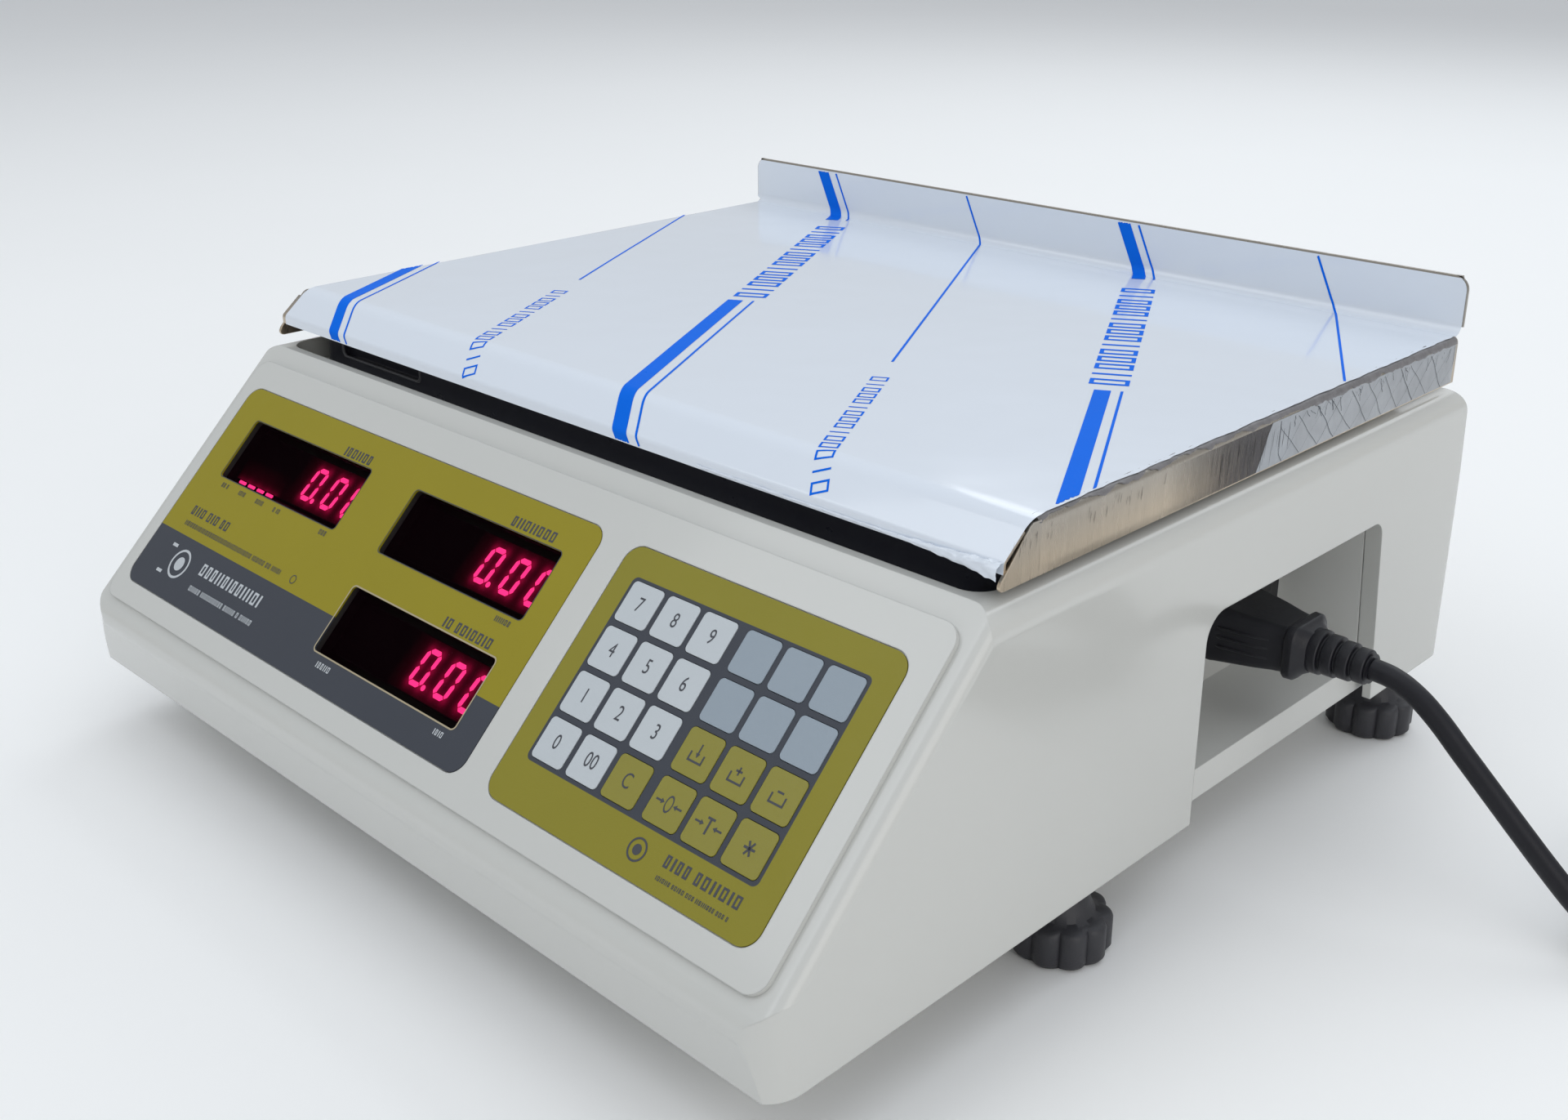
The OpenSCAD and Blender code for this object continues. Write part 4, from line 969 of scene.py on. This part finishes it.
def add_display(label, window, place, extra=()):
    """Lit segments and the soft glow round them behind one window."""
    wu, wv = window
    bars = lit_bars(wu + 1.6, wv - DIGIT_H / 2) + list(extra)
    flat_marks("digits_" + label, bars, place, LED_FACE + DIGIT_OVER, digit_light, "housing", "led_black")
    cols, rows = steps(wu - 37.4, wu + 37.4, 150), steps(wv - 9.2, wv + 9.2, 40)
    ob = piece("glow_" + label, *grid(cols, rows, lambda u, v: place(u, v, LED_FACE + GLOW_OVER)), glow,
               "housing", "led_black")
    near = ob.data.attributes.new("halo", "FLOAT", "POINT")
    values = []
    for v in rows:
        for u in cols:
            p, total = Vector((u, v)), 0.0
            for bar in bars:
                a, b = (bar[0], bar[3]) if len(bar) == 6 else (bar[0], bar[6])
                d = to_segment(p, a, b)
                if d < HALO_REACH:
                    total += (math.exp(-d * d / HALO_FALL) * HALO_NEAR
                              + math.exp(-d / HALO_FALL) * HALO_FAR)
            values.append(min(1.0, total))
    near.data.foreach_set("value", values)


def dash(u, v, length=4.9, height=1.2):
    h = height / 2
    return [Vector(p) for p in ((u, v), (u + 0.3, v + h), (u + length - 0.3, v + h), (u + length, v),
                                (u + length - 0.3, v - h), (u + 0.3, v - h))]


dashes = [dash(u, 57.2) for u in (-144.5, -138.3, -132.1, -125.9)]
for label, window, extra in (("weight", WINDOWS[0], dashes), ("price", WINDOWS[1], ()),
                             ("total", WINDOWS[2], ())):
    add_display(label, window, panel, extra)
for k, window in enumerate(REAR_WINDOWS):
    add_display("rear_%d" % k, window, back_wall)


def add_window_frames():
    """A black sleeve behind each window, and a fine line printed round it, light on the lowest one."""
    def outline(window, grow):
        """A window's outline, larger all round by grow."""
        return [(window[0] + a, window[1] + b) for a, b in
                rounded_rect(WINDOW_HALF[0] + grow, WINDOW_HALF[1] + grow, WINDOW_R + grow)]

    for k, window in enumerate(WINDOWS + REAR_WINDOWS):
        place = panel if k < len(WINDOWS) else back_wall
        ring = outline(window, -0.07)
        piece("window_sleeve_%d" % k, *ring_strip(ring, ring, place, SLEEVE_TOP, LED_FACE),
              led_black, "housing", "led_black")
    for k, window in enumerate(WINDOWS):
        lowest = k == 2
        rings = outline(window, 0), outline(window, 0.5 if lowest else 0.3)
        piece("window_line_%d" % k, *ring_strip(*rings, panel, 0.07, 0.07),
              window_edge if lowest else ink, "housing", "overlay_print")


add_window_frames()


# ------------ legends and printed marks
def bar(u0, v0, u1, v1):
    return [(u0, v0), (u1, v0), (u1, v1), (u0, v1)]


def block_row(u0, u1, v0, v1, seed=0):
    """A row of plain marks the size of letters: solid bars and hollow boxes."""
    rng, out = random.Random(seed), []
    h = v1 - v0
    u, t = u0, h * 0.18
    while u + h * 0.5 < u1:
        if rng.random() < 0.4:
            out.append(bar(u, v0, u + t * 1.3, v1))
            u += h * 0.5
            continue
        w = h * rng.choice((0.5, 0.6))
        out += [bar(u, v0, u + t, v1), bar(u + w - t, v0, u + w, v1), bar(u + t, v0, u + w - t, v0 + t),
                bar(u + t, v1 - t, u + w - t, v1)]
        u += w + h * (0.3 if rng.random() < 0.85 else 0.7)
    return out


def circle_line(u, v, r, t, count=24):
    """A ring of outer radius r and line width t, as quads."""
    outer, inner = circle(r, count, u, v), circle(r - t, count, u, v)
    return [[outer[i - 1], outer[i], inner[i], inner[i - 1]] for i in range(count)]


def turned(x, y, a, u=0.0, v=0.0):
    """The point x, y turned by a and moved by u, v."""
    c, s = math.cos(a), math.sin(a)
    return (u + x * c - y * s, v + x * s + y * c)


def arrow(u, v, length, way):
    """An arrow from u, v along way, with a head 1 mm long."""
    a = math.radians({"right": 0, "left": 180, "down": 270}[way])
    shaft, head = bar(0, -0.21, length - 1, 0.21), ((length - 1, -0.6), (length, 0), (length - 1, 0.6))
    return [[turned(*p, a, u, v) for p in poly] for poly in (shaft, head)]


def icon(kind):
    """Generic key symbols."""
    arrows = arrow(-4, 0, 2.6, "right") + arrow(4, 0, 2.6, "left")
    box = [bar(-2.2, -1.9, 2.2, -1.45), bar(-2.2, -1.5, -1.75, 0.2), bar(1.75, -1.5, 2.2, 0.2)]
    minus = [bar(-0.9, 0.5, 0.9, 0.95)]
    if kind == "zero":
        return arrows + [[(x * 0.75, y * 1.25) for x, y in q] for q in circle_line(0, 0, 1.5, 0.36)]
    if kind == "tare":
        return arrows + [bar(-1.1, 1.25, 1.1, 1.75), bar(-0.28, -1.8, 0.28, 1.3)]
    if kind == "star":
        return [[turned(*p, math.pi * k / 3) for p in bar(-1.6, -0.26, 1.6, 0.26)] for k in range(3)]
    if kind == "save":
        return box + arrow(0, 2.2, 3.0, "down")
    return box + minus + ([bar(-0.22, -0.15, 0.22, 1.6)] if kind == "mw" else [])


def text_mesh(name, text, place, w, finish, body, slot):
    """A number in the built-in face, centred on place's origin, as a flat mesh."""
    curve = bpy.data.curves.new(name, "FONT")
    curve.body = text
    curve.align_x, curve.align_y = "CENTER", "CENTER"
    curve.size = LEGEND_HIGH / CAPITAL
    curve.resolution_u = 4
    holder = add_object(name + "_text", curve)
    bpy.context.view_layer.update()
    mesh = bpy.data.meshes.new_from_object(holder.evaluated_get(bpy.context.evaluated_depsgraph_get()))
    bpy.data.objects.remove(holder)
    verts = [place(v.co.x * LEGEND_SQUEEZE, v.co.y, w) for v in mesh.vertices]
    faces = [list(p.vertices) for p in mesh.polygons]
    bpy.data.meshes.remove(mesh)
    return piece(name, verts, faces, finish, body, slot)


CAPITAL = 0.72                             # height of a capital, as a share of the type size
KEY_U0, KEY_V0, KEY_PITCH_U, KEY_PITCH_V, BLOCK_GAP = 68.6, 30.0, 14.8, 14.6, 1.8
KEY_TOP, PRINT_OVER = 0.15, 0.05           # the keys' face over the panel, its print over that
LEGEND_HIGH, LEGEND_SQUEEZE = 4.5, 0.78
SYMBOL_WIDE, SYMBOL_HIGH = 1.2, 1.3


def add_key_legends():
    """Numbers on the number keys, C on the clear key and symbols on six more; the rest are blank."""
    keys = [(name in SYMBOL_KEYS, row, column, name) for row, names in enumerate(KEY_ROWS)
            for column, name in enumerate(names.split())]
    for symbol, row, column, name in sorted(keys):
        u = KEY_U0 + KEY_PITCH_U * column + (BLOCK_GAP if column > 2 else 0)
        v = KEY_V0 + KEY_PITCH_V * row
        place = lambda a, b, c: panel(u + a, v + b, c)
        rest = (KEY_TOP + PRINT_OVER, ink, "button_" + name, "keypad_print")
        if symbol:
            marks = [[(a * SYMBOL_WIDE, b * SYMBOL_HIGH) for a, b in poly] for poly in icon(name)]
            flat_marks("mark_" + name, marks, place, *rest)
        elif name.isdigit() or name == "clear":
            text_mesh("legend_" + name, name if name.isdigit() else "C", place, *rest)


add_key_legends()


# rows of generic marks: from and to across, then from and to up the surface, and a seed
DARK_ROWS = [(-91, -75, 80, 83.4, 1), (3, 26.5, 80.4, 83.8, 2), (1, 27, 43.8, 47.2, 3),
             (19.7, 26.8, 52.2, 54, 4), (-78.4, -74.4, 52.2, 54, 5), (-150, -122, 38.5, 42, 6),
             (-149.5, -83, 34.2, 36, 7), (-143.4, -138, 52.0, 53.7, 20), (-131.5, -126.1, 52.0, 53.7, 21),
             (-119.8, -114.4, 52.0, 53.7, 22), (-108, -102.6, 52.0, 53.7, 23)]
PALE_ROWS = [(-124, -81, 21.2, 25.6, 11), (-124, -81, 15, 16.9, 12), (-40.5, -33.2, 14.6, 16.6, 13),
             (23.0, 28.5, 15.2, 17, 14)]
PAD_ROWS = [(123, 150, 15.8, 19.2, 15), (123, 150, 12.2, 13.4, 16)]
MARK_OVER, REAR_MARK_OVER = 0.06, 0.66
REAR_ROWS = [(-88, -72, 85, 87.6, 31), (-9, 9, 85, 87.6, 32), (70, 90, 85, 87.6, 33)]


def add_printed_marks():
    """Captions, scale marks and the maker's block, all as generic marks."""
    def print_all(name, rows, extra, place, w, finish, slot):
        flat_marks(name, [m for row in rows for m in block_row(*row)] + extra, place, w, finish,
                   "housing", slot)

    print_all("panel_marks_dark", DARK_ROWS, circle_line(-75.7, 35.1, 1.6, 0.35), panel, MARK_OVER,
              ink, "overlay_print")
    maker = circle_line(-137.5, 21.2, 5.6, 0.9, 32) + [circle(2.6, 28, -137.5, 21.2)]
    dashes = [bar(-148, 15.4, -144.6, 16.6), bar(-148, 25.8, -144.6, 27.0)]
    print_all("panel_marks_pale", PALE_ROWS, maker + dashes, panel, MARK_OVER, pale_ink, "overlay_print")
    maker = circle_line(113, 16.3, 3.3, 0.6, 28) + [circle(1.5, 20, 113, 16.3)]
    print_all("keypad_marks", PAD_ROWS, maker, panel, MARK_OVER, ink, "keypad_print")
    print_all("rear_marks", REAR_ROWS, [], back_wall, REAR_MARK_OVER, ink, "overlay_print")


add_printed_marks()


# ------------ feet, support rim, rocker marks
KNOB_R, LOBES, LOBE_DEEP = 15.3, 10, 1.9
KNOB_RINGS = [  # height, share of the radius, share of the lobes' depth
    (0.0, 0.90, 0.5), (0.25, 0.935, 0.8), (0.9, 0.965, 1), (1.6, 1.0, 1), (10.6, 1.0, 1),
    (11.5, 0.975, 1), (12.0, 0.93, 0.8), (12.4, 0.80, 0.3), (12.9, 0.66, 0), (16.0, 0.56, 0),
    (19.4, 0.475, 0), (20.0, 0.44, 0)]


def add_knob(tag):
    """Foot knob: rounded lobes round the grip, a chamfered sole and the collar under the base."""
    fx, fy = FEET[tag]
    turns = [2 * math.pi * i / 160 for i in range(160)]
    dents = [LOBE_DEEP * (1 - abs(math.cos(a * LOBES / 2)) ** 0.7) for a in turns]
    rings = []
    for z, scale, lobed in KNOB_RINGS:
        radii = [KNOB_R * scale - lobed * dent for dent in dents]
        rings.append((z, [(r * math.cos(a), r * math.sin(a)) for r, a in zip(radii, turns)]))
    verts, faces = loft(rings, lambda z, a, b: (fx + a, fy + b, z))
    ob = piece("knob_" + tag, verts, faces, foot_black, "foot_" + tag, "foot_black", 50)
    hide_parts("foot_knob_" + tag)
    return ob


for tag in FEET:
    add_knob(tag)

THREAD_PITCH = 0.00125
thread = Mat("stud_thread", (0.50, 0.50, 0.49), rough=0.30, vary=0.1, grain=0.1, Metallic=1.0)
wave = thread.node("TexWave", thread.coord, Scale=math.pi / (10 * THREAD_PITCH))
wave.bands_direction = "Z"
thread.set(thread.bump, {"Strength": 0.9})
thread.wire(wave.outputs["Fac"], thread.bump.inputs["Height"])
for tag in FEET:
    paint("foot_stud_" + tag, thread)

# painted highlight: a grey lighter than the black support, for light caught along the recess edge
rim_painted_highlight = Mat("grip_rim", (0.10, 0.10, 0.11), rough=0.38, vary=0.1, grain=0.2)


RIM_BOX = (-119.0, 132.25, 25.0, 6.25)     # centre and half sizes, across and up
RIM_Y, RIM_WIDE, RIM_HIGH = -79.85, 0.7, 0.6


def add_grip_rim():
    """Rounded bead round the finger recess in the support's front face, its lighter grey a painted
    highlight along the recess edge.
    """
    cx, cz, hx, hz = RIM_BOX
    path = [(cx + a, cz + b) for a, b in rounded_rect(hx, hz, 2.2, 64)]
    sides, verts = 10, []
    for x, z in path:
        out = Vector((x - cx, (z - cz) * hx / hz)).normalized()
        for wide, high in circle(1, sides):
            wide *= RIM_WIDE
            verts.append((x + out.x * wide, RIM_Y - RIM_HIGH * high, z + out.y * wide))
    piece("grip_rim_bead", verts, hoop_faces(sides, len(path)), rim_painted_highlight, "housing", "support_black", 60)


add_grip_rim()


ROCKER_AT, ROCKER_TILT = (139, 94, 67), math.radians(9)


def rocker_face(a, b, w):
    """A point of the rocker's face: a along its length, b across, w above its two slopes."""
    x = 2.2 + abs(a) * (2.0 / 9.3) + w
    c, s = math.cos(ROCKER_TILT), math.sin(ROCKER_TILT)
    return (ROCKER_AT[0] + x * c - a * s, ROCKER_AT[1] + x * s + a * c, ROCKER_AT[2] + b)


for name, marks, over in (("rocker_on", [bar(4.0, -0.35, 6.8, 0.35)], 0.08),
                          ("rocker_off", circle_line(-5.4, 0, 1.6, 0.5), 0.10)):
    flat_marks(name, marks, rocker_face, over, pale_ink, "power_rocker", "inlet_black")


# ------------ floor and studio
def add_floor():
    mesh = bpy.data.meshes.new("floor")
    cols = steps(-14, 14, 8)
    verts, faces = grid(cols, cols, lambda x, y: (x, y, -0.0003))
    mesh.from_pydata(verts, [], faces)
    floor = add_object("floor", mesh)
    finish = Mat("floor_paper", (0.92, 0.92, 0.915), rough=0.7, vary=0.01, vary_scale=3, grain=0.05)
    mesh.materials.append(finish.mat)


add_floor()
add_world()
add_light("key", (-0.7, -1.2, 1.7), (0, 0, 0.08), (1.6, 1.2), 7.5, (0.95, 0.98, 1.0))
add_light("fill", (1.7, -0.45, 0.65), (0.05, 0, 0.08), (1.4, 1.1), 6.5, (1.0, 0.97, 0.93))
add_light("back", (-0.3, 1.7, 1.6), (0, 0, 0.1), (2.2, 1.2), 13, (0.93, 0.97, 1.0))
add_light("top", (0.2, 0.0, 2.1), (0.05, 0, 0.1), (2.2, 2.2), 9, (0.95, 0.98, 1.0))
scene.view_settings.view_transform = "Standard"
